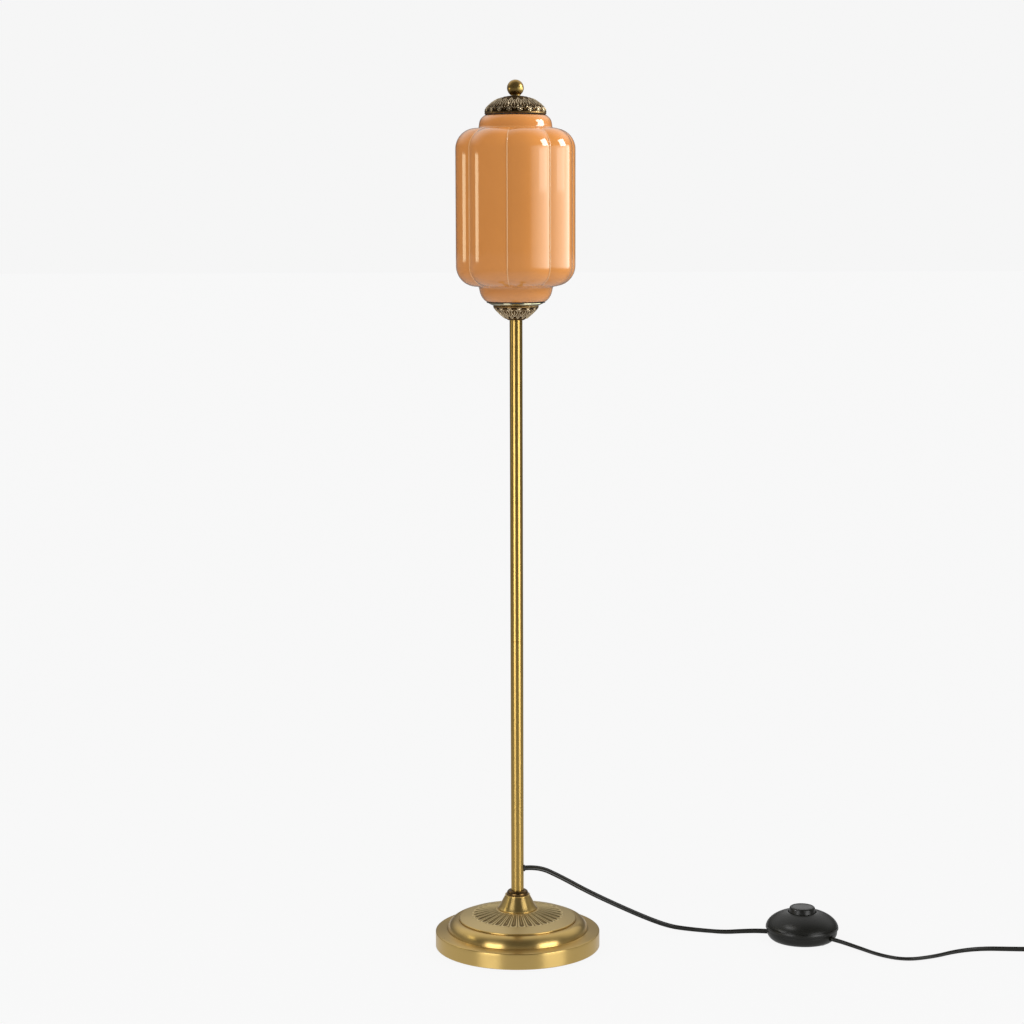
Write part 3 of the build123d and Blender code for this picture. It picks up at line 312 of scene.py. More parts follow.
def make_opal():
    """Cased glass, slightly cloudy, with a painted highlight: paler where the creases between the lobes stand proud.
    """
    material, add, shader = principled("opal_glass", {"IOR": 1.52, "Coat Weight": 1.0, "Coat Roughness": 0.03})
    place = add("ShaderNodeTexCoord").outputs["Object"]
    cloud = add("ShaderNodeTexNoise", {"Vector": place, "Scale": 12.0, "Detail": 5.0, "Roughness": 0.6}).outputs[0]
    tint = add("ShaderNodeMix", {0: cloud, 6: OPAL_DEEP, 7: OPAL_PALE}, data_type="RGBA").outputs[2]
    # the crease attribute paints a highlight along the beads
    crease_highlight = add("ShaderNodeAttribute", attribute_name="crease_highlight").outputs["Fac"]
    paler = add("ShaderNodeMix", {0: crease_highlight, 6: tint, 7: OPAL_CREASE_HIGHLIGHT}, data_type="RGBA").outputs[2]
    feed(material, shader, "Base Color", paler)
    rough = add("ShaderNodeMapRange", {0: cloud, 1: 0.3, 2: 0.7, 3: 0.05, 4: 0.08}).outputs[0]
    feed(material, shader, "Roughness", rough)
    relief = add("ShaderNodeBump", {"Strength": 0.03, "Distance": 0.0004, "Height": cloud}).outputs[0]
    feed(material, shader, "Normal", relief)
    return material


opal_glass = make_opal()
bulb_frost = grainy("bulb_frost", (0.86, 0.86, 0.84), (0.92, 0.92, 0.90), (0.25, 0.4), 300.0, bump=0.02,
                    Transmission_Weight=0.35)
cast_iron = grainy("cast_iron", (0.03, 0.03, 0.03), (0.09, 0.085, 0.08), (0.55, 0.85), 500.0, bump=0.4,
                   depth=0.0004, Metallic=0.6)
zinc_steel = grainy("zinc_steel", (0.42, 0.43, 0.44), (0.58, 0.59, 0.60), (0.25, 0.4), 500.0, Metallic=1.0)
black_rubber = grainy("black_rubber", (0.008, 0.008, 0.008), (0.022, 0.021, 0.020), (0.5, 0.75), 600.0, bump=0.2)
black_plastic = grainy("black_plastic", (0.002, 0.002, 0.0015), (0.009, 0.009, 0.007), (0.28, 0.38), 900.0,
                       bump=0.12, Specular_IOR_Level=0.34)
cream_ceramic = grainy("cream_ceramic", (0.72, 0.69, 0.60), (0.82, 0.79, 0.71), (0.15, 0.25), 200.0,
                       Coat_Weight=0.6)
felt = grainy("felt", (0.012, 0.012, 0.013), (0.035, 0.035, 0.036), (0.85, 1.0), 1500.0, bump=0.6, depth=0.0003)
flex_black = grainy("flex_black", (0.003, 0.003, 0.002), (0.009, 0.009, 0.006), (0.22, 0.30), 500.0, bump=0.1,
                    Specular_IOR_Level=0.34)
blade_brass = grainy("blade_brass", (0.60, 0.47, 0.24), (0.72, 0.58, 0.33), (0.18, 0.3), 500.0,
                     (1, 0.05, 1), Metallic=1.0)

FINISH = {
    satin_brass: "pole_lower pole_upper",
    base_brass: "base_cover hub_cone",
    polished_brass: "gallery_plate",
    antique_brass: "bottom_cup top_cap finial_ball",
    dark_brass: "hub_collar",
    opal_glass: "glass_shade",
    bulb_frost: "bulb_glass",
    cast_iron: "base_weight",
    zinc_steel: "base_washer base_nut base_rod head_rod head_nut holder_nut pole_joiner pole_foot_plug"
                " pole_head_plug harp bulb_cap switch_screws switch_spring",
    black_rubber: "cord_bush gallery_gasket cap_gasket switch_pads",
    black_plastic: "switch_base switch_cover switch_button switch_module cord_clamps plug_body",
    cream_ceramic: "lampholder_core lampholder_shell",
    felt: "base_pad",
    flex_black: "inner_lead cord_to_switch cord_from_switch cord_coil",
    blade_brass: "plug_blades",
}
for finish, names in FINISH.items():
    for name in names.split():
        slots = nodes[name].data.materials
        slots.clear()
        slots.append(finish)

# turned metal


def arc_points(centre, radius, start, end, count):
    """Points on an arc from one angle to another, in degrees."""
    angles = np.radians(np.linspace(start, end, count))
    return [(centre[0] + radius * math.cos(a), centre[1] + radius * math.sin(a)) for a in angles]


def run_points(start, end, count):
    """Points on a straight run, without its last one."""
    return [tuple(np.array(start) + (np.array(end) - np.array(start)) * k / count) for k in range(count)]


def mesh_object(name, points, faces, material, body=None, sharp_angle=35.0):
    """A smooth mesh that rides on a body, or on none yet."""
    mesh = bpy.data.meshes.new(name)
    mesh.from_pydata([tuple(p) for p in points], [], faces)
    mesh.materials.append(material)
    mesh.validate()
    mesh.shade_smooth()
    mesh.set_sharp_from_angle(angle=math.radians(sharp_angle))
    made = bpy.data.objects.new(name, mesh)
    collection.objects.link(made)
    if body:
        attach(made, body)
    return made


def ring_faces(rings, count, closed):
    """Quads between neighbouring rings of points, and from the last ring back to the first."""
    faces = []
    for ring in range(rings if closed else rings - 1):
        after = (ring + 1) % rings
        for k in range(count):
            beside = (k + 1) % count
            faces.append((ring * count + k, ring * count + beside, after * count + beside, after * count + k))
    return faces


def tube_faces(rings, count):
    """The faces of a tube with a cap on each end."""
    caps = [tuple(range(count))[::-1], tuple(range((rings - 1) * count, rings * count))]
    return ring_faces(rings, count, False) + caps


def turned(name, outline, segments, material, body, relief=None, first=0, last=0, side=1, centre=(0, 0)):
    """Turns a closed outline in millimetres about an upright axis at centre. relief gives the height of the
    embossing over the rings first to last, from each point's angle and its place on the outline. side is -1 where
    the outline runs down."""
    outline = np.array(outline, float)
    theta = np.linspace(0, 2 * math.pi, segments, endpoint=False)
    radius = np.repeat(outline[:, :1], segments, axis=1)
    height = np.repeat(outline[:, 1:], segments, axis=1)
    raised = np.zeros_like(radius)
    if relief:
        part = slice(first, last)
        slope = np.gradient(outline, axis=0)[part]
        slope /= np.linalg.norm(slope, axis=1)[:, None]
        raised[part] = relief(theta[None, :], radius[part], height[part])
        radius[part] += side * slope[:, 1:] * raised[part]
        height[part] -= side * slope[:, :1] * raised[part]
    points = np.stack([centre[0] + radius * np.cos(theta), centre[1] + radius * np.sin(theta), height], axis=2) / 1000
    faces = ring_faces(len(outline), segments, True)
    made = mesh_object(name, points.reshape(-1, 3), faces, material, body, 75 if relief else 35)
    if relief:
        layer = made.data.attributes.new("raised", "FLOAT", "POINT")
        layer.data.foreach_set("value", raised.reshape(-1).astype(np.float32))
    return made


def wave(distance, width):
    """A smooth rounded ridge of height one."""
    return np.exp(-((distance / width) ** 2))


def step(value, low, high):
    """Smooth rise from 0 at low to 1 at high."""
    share = np.clip((value - low) / (high - low), 0, 1)
    return share * share * (3 - 2 * share)


# base casing with its ring of petals

PETALS = 32
ROUND_BASE = PETALS * 20
PETAL_ROOT, PETAL_BEND, PETAL_END = 31.5, 63.6, 70.6
PETAL_HALF_AT_ROOT, PETAL_WIDENING = 2.2, 2.1
RIDGE_HEIGHT, RIDGE_WIDTH = 0.95, 1.0
RIB_HEIGHT, RIB_WIDTH = 1.05, 0.7
SLOT_DEPTH, SLOT_WIDTH = 0.75, 0.9
FOOT_DEPTH, FOOT_WIDTH, FOOT_OUT = 0.15, 0.7, 1.9
HOLLOW_DEPTH, GROUND_DEPTH = 0.62, 0.32


def petal_relief(theta, radius, height):
    """U-shaped ridges with a rib in each, and a slot on both sides of the rib and between the ridges."""
    pitch = 2 * math.pi / PETALS
    across = (np.mod(theta, pitch) - pitch / 2) * radius
    half = PETAL_HALF_AT_ROOT + PETAL_WIDENING * np.clip((radius - PETAL_ROOT) / (PETAL_BEND - PETAL_ROOT), 0, 1)
    past = np.clip(radius - PETAL_BEND, 0, None)
    from_ridge = np.hypot(across, 0.85 * past) - half
    ridge = RIDGE_HEIGHT * wave(from_ridge, RIDGE_WIDTH)
    inside = step(-from_ridge, 0.4, 1.4)
    rib = RIB_HEIGHT * wave(across, RIB_WIDTH) * (1 - step(radius, PETAL_BEND - 4, PETAL_BEND))
    gap = pitch / 2 * radius - np.abs(across)
    slot = SLOT_DEPTH * wave(gap, SLOT_WIDTH) * (1 - step(radius, PETAL_BEND + 0.5, PETAL_END + 1))
    foot = FOOT_DEPTH * wave(from_ridge - FOOT_OUT, FOOT_WIDTH)
    ground = GROUND_DEPTH * (1 - step(from_ridge, 0.5, 1.3))
    ends = step(radius, PETAL_ROOT, PETAL_ROOT + 1.6) * (1 - step(radius, PETAL_END + 0.6, PETAL_END + 1.6))
    return (ridge + inside * (rib - HOLLOW_DEPTH) - np.maximum(slot, foot) - ground) * ends


def make_base():
    outside = [(122.8, 1.6), (123.7, 1.6), (124.3, 2.2)] + run_points((124.3, 2.7), (124.3, 23.9), 5)
    outside += arc_points((122.7, 23.9), 1.6, 0, 84, 7)
    outside += run_points((122.0, 25.58), (106.6, 26.72), 8)
    outside += [(106.25, 26.78), (106.05, 27.0)]
    outside += arc_points((90.346, 26.8), 15.654, 2, 103, 26)
    outside += [(86.6, 42.3), (87.0, 42.5), (87.8, 42.5)]
    outside += arc_points((87.9, 43.1), 0.7, -80, 0, 5) + arc_points((87.7, 43.8), 0.9, 0, 75, 6)
    lip = len(outside)
    outside += run_points((87.3, 44.92), (72.5, 48.65), 8)
    first = len(outside)
    outside += run_points((72.5, 48.65), (31.2, 57.9), 64)
    last = len(outside)
    outside += [(31.2, 57.9), (30.2, 58.15), (28.0, 58.2), (5.0, 58.2)]
    inside = [(5.0, 56.7), (30.0, 56.7), (87.1, 43.2), (85.2, 40.6), (92.0, 39.2), (99.4, 35.2),
              (104.4, 28.4), (104.6, 25.4), (122.8, 23.9)]
    casing = turned("base_casing", outside + inside, ROUND_BASE, base_brass, "lamp", petal_relief, first, last)
    casing.data.materials.append(petal_brass)
    top = [face for face in casing.data.polygons if lip * ROUND_BASE <= face.vertices[0] < last * ROUND_BASE]
    for face in top:
        face.material_index = 1
    return casing


base_casing = make_base()
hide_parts("base_cover")

# embossed cap and cup

CAP_MOTIFS, CUP_MOTIFS = 18, 14
RELIEF_TURN = math.radians(8)
ROSETTE_HEIGHT, ROSETTE_GROOVE = 1.1, 0.8
ROSETTE_PETAL, ROSETTE_PETALS = 0.25, 6
LEAF_EDGE, LEAF_EDGE_WIDTH = 1.05, 0.55
LEAF_DROP, VEIN_HEIGHT, VEIN_PITCH = 0.8, 0.6, 4.3
SWIRL_HEIGHT, SWIRL_PITCH = 0.45, 4.7
RELIEF_GROUND = 0.42


def tracery(theta, radius, along, motifs, rosette_at, leaf_low, leaf_high):
    """Rosettes along the rim, pointed leaves between them, and veins that run together towards the middle.
    Lengths are in millimetres, and along is measured from the rim."""
    pitch = 2 * math.pi / motifs
    turn = np.mod(theta, pitch) - pitch / 2
    across = turn * radius
    far = np.hypot(across, along - rosette_at)
    size = 0.25 * pitch * radius[0, 0]
    rosette = ROSETTE_HEIGHT * np.sqrt(np.clip(1 - (far / size) ** 2, 0, 1))
    rosette = rosette - ROSETTE_GROOVE * wave(far - size * 0.5, 0.5)
    petal = ROSETTE_PETAL * np.cos(ROSETTE_PETALS * np.arctan2(across, along - rosette_at))
    petal = petal * wave(far - size * 0.8, 0.7)
    height = np.where(far < size, rosette + petal, 0)
    for shift, low, high, wide in ((0.5, leaf_low, leaf_high, 0.36), (0.0, leaf_low + 6.5, leaf_high + 6.0, 0.30)):
        side = np.mod(theta + shift * pitch, pitch) - pitch / 2
        share = np.clip((along - low) / (high - low), 0, 1)
        reach = wide * pitch * radius * np.sin(np.pi * share ** 0.72) ** 0.8
        off = np.abs(side) * radius
        present = step(along, low - 0.3, low + 0.5) * (1 - step(along, high - 0.5, high + 0.3))
        outline = LEAF_EDGE * wave(off - reach, LEAF_EDGE_WIDTH) * present
        within = step(reach - off, 0.2, 0.9) * present
        drop = wave(off, 0.25 + 0.7 * np.sin(np.pi * share) ** 2)
        veins = VEIN_HEIGHT * np.cos(2 * math.pi * (along + 1.1 * off) / VEIN_PITCH)
        height = np.maximum(height, outline) + within * (LEAF_DROP * drop + veins * step(off, 0.7, 1.2) * 0.7)
    mirrored = np.abs(np.mod(theta + 0.25 * pitch, 0.5 * pitch) - 0.25 * pitch) * radius
    swirl = np.cos(2 * math.pi * (along - 0.9 * mirrored) / SWIRL_PITCH + 1.3 * np.sin(along / 2.3))
    ground = np.where(height < 0.12, SWIRL_HEIGHT * swirl * step(along, 2.0, 4.0), 0)
    uneven = 0.1 * np.sin(theta * 47 + along * 1.7) * np.sin(theta * 29 - along * 2.3)
    return height + ground + uneven - RELIEF_GROUND


def even_outline(points, count):
    """The curve through the points, cut into even steps by length."""
    points = np.array(points, float)
    runs = run_lengths(points)
    at = np.linspace(0, runs[-1], count)
    return np.stack([np.interp(at, runs, points[:, k]) for k in (0, 1)], axis=1)


def rounded(points, rounds=3):
    """Cuts the corners of an open outline, as many times as asked."""
    points = np.array(points, float)
    for _ in range(rounds):
        low = points[:-1] * 0.75 + points[1:] * 0.25
        high = points[:-1] * 0.25 + points[1:] * 0.75
        points = np.concatenate([points[:1], np.stack([low, high], axis=1).reshape(-1, 2), points[-1:]])
    return points


def run_lengths(line):
    steps = np.linalg.norm(np.diff(line, axis=0), axis=1)
    return np.concatenate([[0], np.cumsum(steps)])


def embossed(name, rim, dome, inside, segments, body, motifs, side, rosette_at, leaf_low, leaf_high):
    """A spun dome with its embossing, which fades towards the rim and the middle."""
    length = run_lengths(dome)[:, None]

    def relief(theta, radius, height):
        along = np.repeat(length, theta.shape[1], axis=1)
        fade = step(along, 0.5, 1.4) * (1 - step(along, length[-1] - 3.2, length[-1] - 1.6))
        return tracery(theta - RELIEF_TURN, radius, along, motifs, rosette_at, leaf_low, leaf_high) * fade

    outline = rim + [tuple(p) for p in dome] + inside
    return turned(name, outline, segments, antique_relief, body, relief, len(rim), len(rim) + len(dome), side)


def make_cap():
    dome = [(44.9, 1250.0), (44.7, 1252.6), (43.4, 1256.2), (40.8, 1259.2), (36.6, 1263.0), (31.6, 1266.8),
            (26.2, 1269.8), (19.6, 1272.4), (12.4, 1273.9), (7.0, 1274.4)]
    dome = even_outline(rounded(dome), 96)
    rim = [(42.0, 1248.0), (44.4, 1248.0), (44.95, 1248.25), (45.1, 1248.7), (45.1, 1249.4)]
    inside = [(3.7, 1274.4), (3.7, 1272.9), (12.0, 1272.2), (25.0, 1268.4), (35.0, 1261.6), (41.0, 1255.0),
              (43.3, 1250.0), (42.0, 1249.6)]
    return embossed("cap_relief", rim, dome, inside, 720, "cap", CAP_MOTIFS, 1, 4.6, 5.5, 24.0)


def make_cup():
    bowl = [(33.4, 968.6), (32.7, 967.0), (30.6, 964.6), (27.6, 961.4), (24.2, 958.2), (20.6, 955.0),
            (16.6, 951.8), (12.6, 949.4), (10.4, 948.8)]
    bowl = even_outline(rounded(bowl), 72)
    rim = [(5.1, 948.85), (5.1, 970.2), (33.0, 970.2), (33.5, 969.8), (33.55, 969.2)]
    return embossed("cup_relief", rim, bowl, [(9.7, 948.8)], 560, "lamp", CUP_MOTIFS, -1, 4.0, 4.5, 19.0)


def make_antique():
    """Antique brass, dark in the hollows of the relief with patina and painted shade, and bright on its tops with
    wear and a painted highlight.
    """
    material, add, shader = principled("antique_relief", {"Metallic": 1.0})
    place = add("ShaderNodeTexCoord").outputs["Object"]
    fine = add("ShaderNodeTexNoise", {"Vector": place, "Scale": 420.0, "Detail": 4.0}).outputs[0]
    raised = add("ShaderNodeAttribute", attribute_name="raised").outputs["Fac"]
    level = add("ShaderNodeMath", {0: fine, 1: 0.5, 2: raised}, operation="MULTIPLY_ADD")
    wear_and_light = add("ShaderNodeMapRange", {0: level.outputs[0], 1: -0.25, 2: 0.75}, interpolation_type="SMOOTHSTEP")
    # the ramp runs from patina and painted shade in the hollows to worn brass and a painted highlight on the tops
    ramp = add("ShaderNodeValToRGB", {0: wear_and_light.outputs[0]})
    ramp.color_ramp.elements[0].color = (0.030, 0.016, 0.007, 1)
    ramp.color_ramp.elements[1].color = (0.90, 0.74, 0.50, 1)
    middle = ramp.color_ramp.elements.new(0.52)
    middle.color = (0.25, 0.145, 0.052, 1)
    feed(material, shader, "Base Color", ramp.outputs[0])
    rough = add("ShaderNodeMapRange", {0: wear_and_light.outputs[0], 3: 0.55, 4: 0.26})
    feed(material, shader, "Roughness", rough.outputs[0])
    relief = add("ShaderNodeBump", {"Strength": 0.15, "Distance": 0.0002, "Height": fine})
    feed(material, shader, "Normal", relief.outputs[0])
    return material


antique_relief = make_antique()
cap_relief = make_cap()
cup_relief = make_cup()
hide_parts("top_cap")
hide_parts("bottom_cup")

# blown glass shade

LOBES = 8
LOBE_BEARING = math.radians(-76.1)
LOBE_RADIUS, LOBE_OFFSET, LOBE_ROUND = 46.5, 42.4, 30.0
LOBE_BOTTOM, LOBE_TOP = 998.4, 1227.8
GLASS_WALL = 3.0
CREASE = 1.1
CREASE_BEAD = 1.1
CREASE_HALF = 0.6
NECK_BELOW, NECK_ABOVE, NECK_BLEND = 57.0, 56.5, 5.0


def soft_larger(a, b, blend):
    """The larger of two radii, rounded where they meet."""
    near = np.clip(blend - np.abs(a - b), 0, None) / blend
    return np.maximum(a, b) + near * near * blend / 4


def lobe_reach(off_axis, radius):
    """How far out a lobe's wall is, seen at an angle from the lobe's middle."""
    inside = np.clip(radius ** 2 - (LOBE_OFFSET * np.sin(off_axis)) ** 2, 0, None)
    return LOBE_OFFSET * np.cos(off_axis) + np.sqrt(inside)


def shade_rings(inset):
    """Rings of the shade's wall from the lower mouth to the upper one."""
    half = 180 / LOBES
    side = np.array([0, 2.5, 5, 7.5, 10, 12.5, 15, 17, 18.6, 19.8, 20.6, 21.1, 21.5, 21.8, 22.0, 22.15, 22.3, 22.4])
    lobe = np.concatenate([-side[:0:-1], side])
    lobe = np.radians(np.concatenate([lobe, [half]]))
    turns = np.arange(LOBES) * 2 * math.pi / LOBES + LOBE_BEARING
    theta = (turns[:, None] + lobe[None, :]).reshape(-1)
    off_axis = np.abs(np.tile(lobe, LOBES))
    other = 2 * math.pi / LOBES - off_axis
    radius, curve = LOBE_RADIUS - inset, LOBE_ROUND - inset
    low, high = LOBE_BOTTOM + inset, LOBE_TOP - inset
    rings = []

    def plain(at, height):
        rings.append((np.full_like(theta, at), height, 0 * theta))

    def lobed(tilt, height, ring):
        reach = radius - curve + curve * math.cos(tilt)
        wall = soft_larger(lobe_reach(off_axis, reach), lobe_reach(other, reach), CREASE)
        proud = math.cos(tilt) * wave((math.pi / LOBES - off_axis) * wall, CREASE_HALF)
        wall = wall + (CREASE_BEAD if inset == 0 else 0) * proud
        rings.append((soft_larger(wall, np.full_like(wall, ring), NECK_BLEND), height, proud))

    for at, height in ((44.0, 976.4), (45.3, 977.4), (46.9, 978.9), (49.2, 981.6), (51.0, 984.6), (52.4, 988.0),
                       (53.3, 991.4), (53.9, 994.6), (54.4, 996.6)):
        plain(at - inset, height)
    plain(55.4 - inset, low - 0.5)
    for tilt in np.linspace(90, 0, 16):
        angle = math.radians(tilt)
        lobed(angle, low + curve - curve * math.sin(angle), NECK_BELOW - inset)
    for share in np.linspace(0, 1, 9)[1:-1]:
        lobed(0.0, low + curve + (high - low - 2 * curve) * share, NECK_BELOW - inset)
    for tilt in np.linspace(0, 90, 16):
        angle = math.radians(tilt)
        lobed(angle, high - curve + curve * math.sin(angle), NECK_ABOVE - inset)
    plain(54.6 - inset, high + 0.35)
    for at, height in ((53.7, 1229.4), (53.4, 1231.6), (53.0, 1234.6), (52.4, 1237.6), (51.3, 1240.2),
                       (49.6, 1242.6), (47.4, 1244.6), (45.5, 1246.2)):
        plain(at - inset, height)
    points = [np.stack([r * np.cos(theta), r * np.sin(theta), np.full_like(theta, z)], axis=1) for r, z, _ in rings]
    return points, [proud for _, _, proud in rings]


def make_shade():
    outside, proud = shade_rings(0)
    inside, hidden = shade_rings(GLASS_WALL)
    rings = outside + inside[::-1]
    faces = ring_faces(len(rings), len(rings[0]), True)
    made = mesh_object("shade_glass", np.concatenate(rings) / 1000, faces, opal_glass, "shade", 60)
    # the proud share of the crease beads, which the glass uses to paint a highlight along them
    layer = made.data.attributes.new("crease_highlight", "FLOAT", "POINT")
    layer.data.foreach_set("value", np.concatenate(proud + hidden[::-1]).astype(np.float32))
    return made


shade_mesh = make_shade()
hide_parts("glass_shade")
upper_pieces = [shade_mesh, cap_relief, nodes["finial_ball"]]
for lamp in upper_lamps:
    flag_off(lamp, upper_pieces + [cup_relief, nodes["gallery_plate"]], others=True)
for lamp in lower_lamps:
    flag_off(lamp, upper_pieces)

# foot switch

SWITCH_AT = (436.0, 30.8)
DOME_BASE = 17.0
DOME_OUTSIDE, DOME_INSIDE = (55.5, 28.0), (53.1, 25.6)


def dome_points(size, start, end, count):
    """Points on the dome's quarter ellipse, from one angle to another in degrees."""
    wide, high = size
    return [(wide * math.cos(a), DOME_BASE + high * math.sin(a)) for a in np.radians(np.linspace(start, end, count))]


def make_switch_cover():
    """The domed cover, with a shadow gap over the lower shell and a fine groove above its rim."""
    outside = [(53.1, 14.4), (53.7, 14.4), (53.7, 16.9), (54.6, 17.0), (55.2, 17.2), (55.45, 17.6)]
    outside += dome_points(DOME_OUTSIDE, 2.5, 9.2, 4)
    outside += [(53.7, 21.7), (53.6, 22.2)]
    outside += dome_points(DOME_OUTSIDE, 11.6, 66.2, 28)
    outside += [(21.95, 42.6), (21.7, 42.3)]
    inside = [(21.7, 40.4)] + dome_points(DOME_INSIDE, 65, 0, 12)
    return turned("switch_dome", outside + inside, 160, black_plastic, "lamp", centre=SWITCH_AT)


def make_switch_button():
    """The push button, with a rounded edge and a shallow dish in its top."""
    outline = [(20.9, 39.6), (19.5, 47.6), (19.25, 48.6), (18.7, 49.5), (17.9, 50.15), (17.0, 50.45), (16.2, 50.5),
               (15.7, 50.35), (15.3, 50.05), (14.6, 49.95), (0.05, 49.95), (0.05, 48.4), (17.0, 48.3), (18.7, 38.2),
               (24.4, 38.2), (24.4, 39.5)]
    return turned("button_top", outline, 128, black_plastic, "button", centre=SWITCH_AT)


SPRING_RADIUS, SPRING_WIRE, SPRING_TURNS = 5.6, 0.5, 5
SPRING_BOTTOM, SPRING_TOP = 21.3, 47.5
WIRE_SIDES = 12


def make_spring():
    """The return spring under the button, as a coil of wire."""
    turns = np.linspace(0, SPRING_TURNS * 2 * math.pi, SPRING_TURNS * 32 + 1)
    outward = np.stack([np.cos(turns), np.sin(turns), 0 * turns], axis=1)
    rise = (SPRING_TOP - SPRING_BOTTOM) / turns[-1]
    upward = np.stack([rise * np.sin(turns), -rise * np.cos(turns), 0 * turns + SPRING_RADIUS], axis=1)
    upward /= np.hypot(rise, SPRING_RADIUS)
    line = outward * SPRING_RADIUS + (*SWITCH_AT, SPRING_BOTTOM) + np.outer(turns * rise, (0, 0, 1))
    around = np.linspace(0, 2 * math.pi, WIRE_SIDES, endpoint=False)[:, None]
    rings = [at + SPRING_WIRE * (np.cos(around) * out + np.sin(around) * up)
             for at, out, up in zip(line, outward, upward)]
    faces = tube_faces(len(rings), WIRE_SIDES)
    made = mesh_object("button_spring", np.concatenate(rings) / 1000, faces, zinc_steel)
    foot, head = (Vector((*SWITCH_AT, height)) / 1000 for height in (SPRING_BOTTOM, SPRING_TOP))
    tuple(foot)
    tuple(head)
    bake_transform(made)
    return made


switch_dome = make_switch_cover()
button_top = make_switch_button()
button_spring = make_spring()
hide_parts("switch_cover")
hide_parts("switch_button")
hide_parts("switch_spring")
for lamp in switch_lamps:
    flag_off(lamp, [switch_dome, button_top, nodes["switch_base"]], others=True)

# twin flex

FLEX_WIDE = 0.0075
FLEX_THICK = 0.0038
WEB_SHARE = 0.62


def nurbs_line(name, points):
    """One open spline with the route's points as its control points."""
    curve = bpy.data.curves.new(name, "CURVE")
    curve.dimensions = "3D"
    spline = curve.splines.new("NURBS")
    spline.points.add(len(points) - 1)
    for point, at in zip(spline.points, points):
        point.co = (*at, 1.0)
    spline.order_u = 3
    spline.use_endpoint_u = True
    spline.resolution_u = 10
    holder = bpy.data.objects.new(name, curve)
    collection.objects.link(holder)
    graph = bpy.context.evaluated_depsgraph_get()
    mesh = bpy.data.meshes.new_from_object(holder.evaluated_get(graph))
    line = np.array([v.co for v in mesh.vertices])
    bpy.data.objects.remove(holder)
    bpy.data.meshes.remove(mesh)
    return line


def twin_section(count=26):
    """Outline of two round conductors side by side, joined by a web: (across, up) for the flat way."""
    angles = np.linspace(0, 2 * math.pi, count, endpoint=False)
    across = np.cos(angles)
    lobe = FLEX_THICK / 2
    offset = FLEX_WIDE / 2 - lobe
    x = (offset + lobe) * across
    from_middle = np.abs(x)
    up = np.sqrt(np.clip(lobe ** 2 - np.clip(np.abs(from_middle - offset), 0, lobe) ** 2, 0, None))
    up = np.where(from_middle < offset, np.maximum(up, lobe * WEB_SHARE), up)
    return np.stack([x, np.sign(np.sin(angles)) * up], axis=1)


def flat_flex(name, line, turn):
    """Sweeps the twin section along the line. turn gives, for each share of the length, how far it stands on edge."""
    runs = run_lengths(line)
    share = runs / runs[-1]
    tangents = np.gradient(line, axis=0)
    tangents /= np.linalg.norm(tangents, axis=1)[:, None]
    sides = np.cross(tangents, (0, 0, 1))
    sides /= np.linalg.norm(sides, axis=1)[:, None]
    ups = np.cross(sides, tangents)
    angle = np.radians(np.interp(share, [t[0] for t in turn], [t[1] for t in turn]))
    section = twin_section()
    rings = []
    for at, side, up, a in zip(line, sides, ups, angle):
        wide = side * math.cos(a) + up * math.sin(a)
        high = up * math.cos(a) - side * math.sin(a)
        rings.append(at + section[:, :1] * wide + section[:, 1:] * high)
    points = np.concatenate(rings)
    return mesh_object(name, points, tube_faces(len(line), len(section)), flex_black, "lamp")


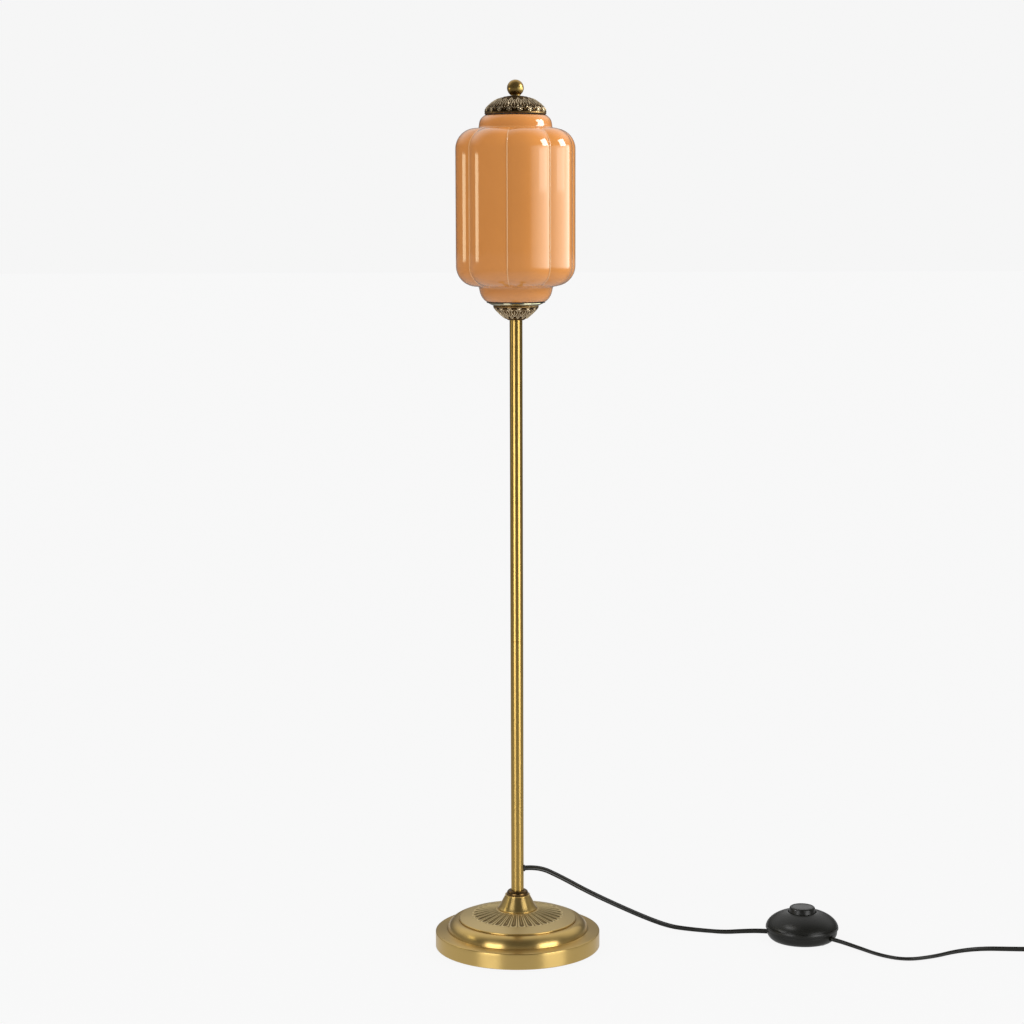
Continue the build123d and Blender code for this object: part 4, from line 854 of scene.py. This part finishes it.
FIRST_ROUTE = [
    (0.0107, 0.0031, 0.120), (0.0318, 0.0091, 0.120), (0.062, 0.0175, 0.104), (0.108, 0.0295, 0.075),
    (0.160, 0.044, 0.046), (0.205, 0.057, 0.0225), (0.237, 0.066, 0.0085), (0.266, 0.068, 0.00375),
    (0.293, 0.059, 0.00375), (0.320, 0.052, 0.00375), (0.349, 0.053, 0.005), (0.3780, 0.0463, 0.0074),
    (0.4070, 0.0386, 0.0074),
]
SECOND_ROUTE = [
    (0.4583, 0.0107, 0.0104), (0.4806, -0.0093, 0.0104), (0.512, -0.030, 0.005), (0.541, -0.066, 0.00375),
    (0.576, -0.088, 0.00375), (0.620, -0.073, 0.00375), (0.658, -0.047, 0.00375), (0.699, -0.034, 0.00375),
    (0.742, -0.037, 0.00375), (0.785, -0.0392, 0.00375), (0.8075, -0.038, 0.00375),
]
COIL_CENTRE = (0.835, 0.0075)
COIL_INNER = 0.0296
COIL_PITCH = 0.00795
LOW_LAYER, HIGH_LAYER = 0.00375, 0.0117
POINTS_A_QUARTER = 4
TURN_ROUND, LAST_QUARTER = 8, 17
TAIL = [(0.88849, 0.0475, 0.0086), (0.88849, 0.055, 0.0086)]


def coil_points():
    """Turns inward on the floor, then outward on top of them."""
    points = []
    for place in range(LAST_QUARTER * POINTS_A_QUARTER + 1):
        quarter = place / POINTS_A_QUARTER
        angle = math.radians(-90 + 90 * quarter)
        radius = (COIL_INNER + COIL_PITCH * abs(quarter - TURN_ROUND) / 4) / math.cos(math.pi / 4 / POINTS_A_QUARTER)
        climb = min(max((quarter - TURN_ROUND + 1) / 2, 0), 1)
        height = LOW_LAYER + (HIGH_LAYER - LOW_LAYER) * climb * climb * (3 - 2 * climb)
        points.append((COIL_CENTRE[0] + radius * math.cos(angle), COIL_CENTRE[1] + radius * math.sin(angle), height))
    return points


first_line = nurbs_line("first_line", FIRST_ROUTE)
second_line = nurbs_line("second_line", SECOND_ROUTE + coil_points() + TAIL)
flex_to_switch = flat_flex("flex_to_switch", first_line, [(0, 90), (0.5, 80), (0.75, 60), (0.9, 80), (1, 90)])
flex_from_switch = flat_flex("flex_from_switch", second_line, [(0, 70), (0.1, 40), (0.2, 70), (0.27, 90), (1, 90)])
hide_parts("cord_to_switch")
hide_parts("cord_from_switch", "cord_coil")
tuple(FIRST_ROUTE[0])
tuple(SECOND_ROUTE[0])

bpy.context.scene.view_settings.view_transform = "Standard"
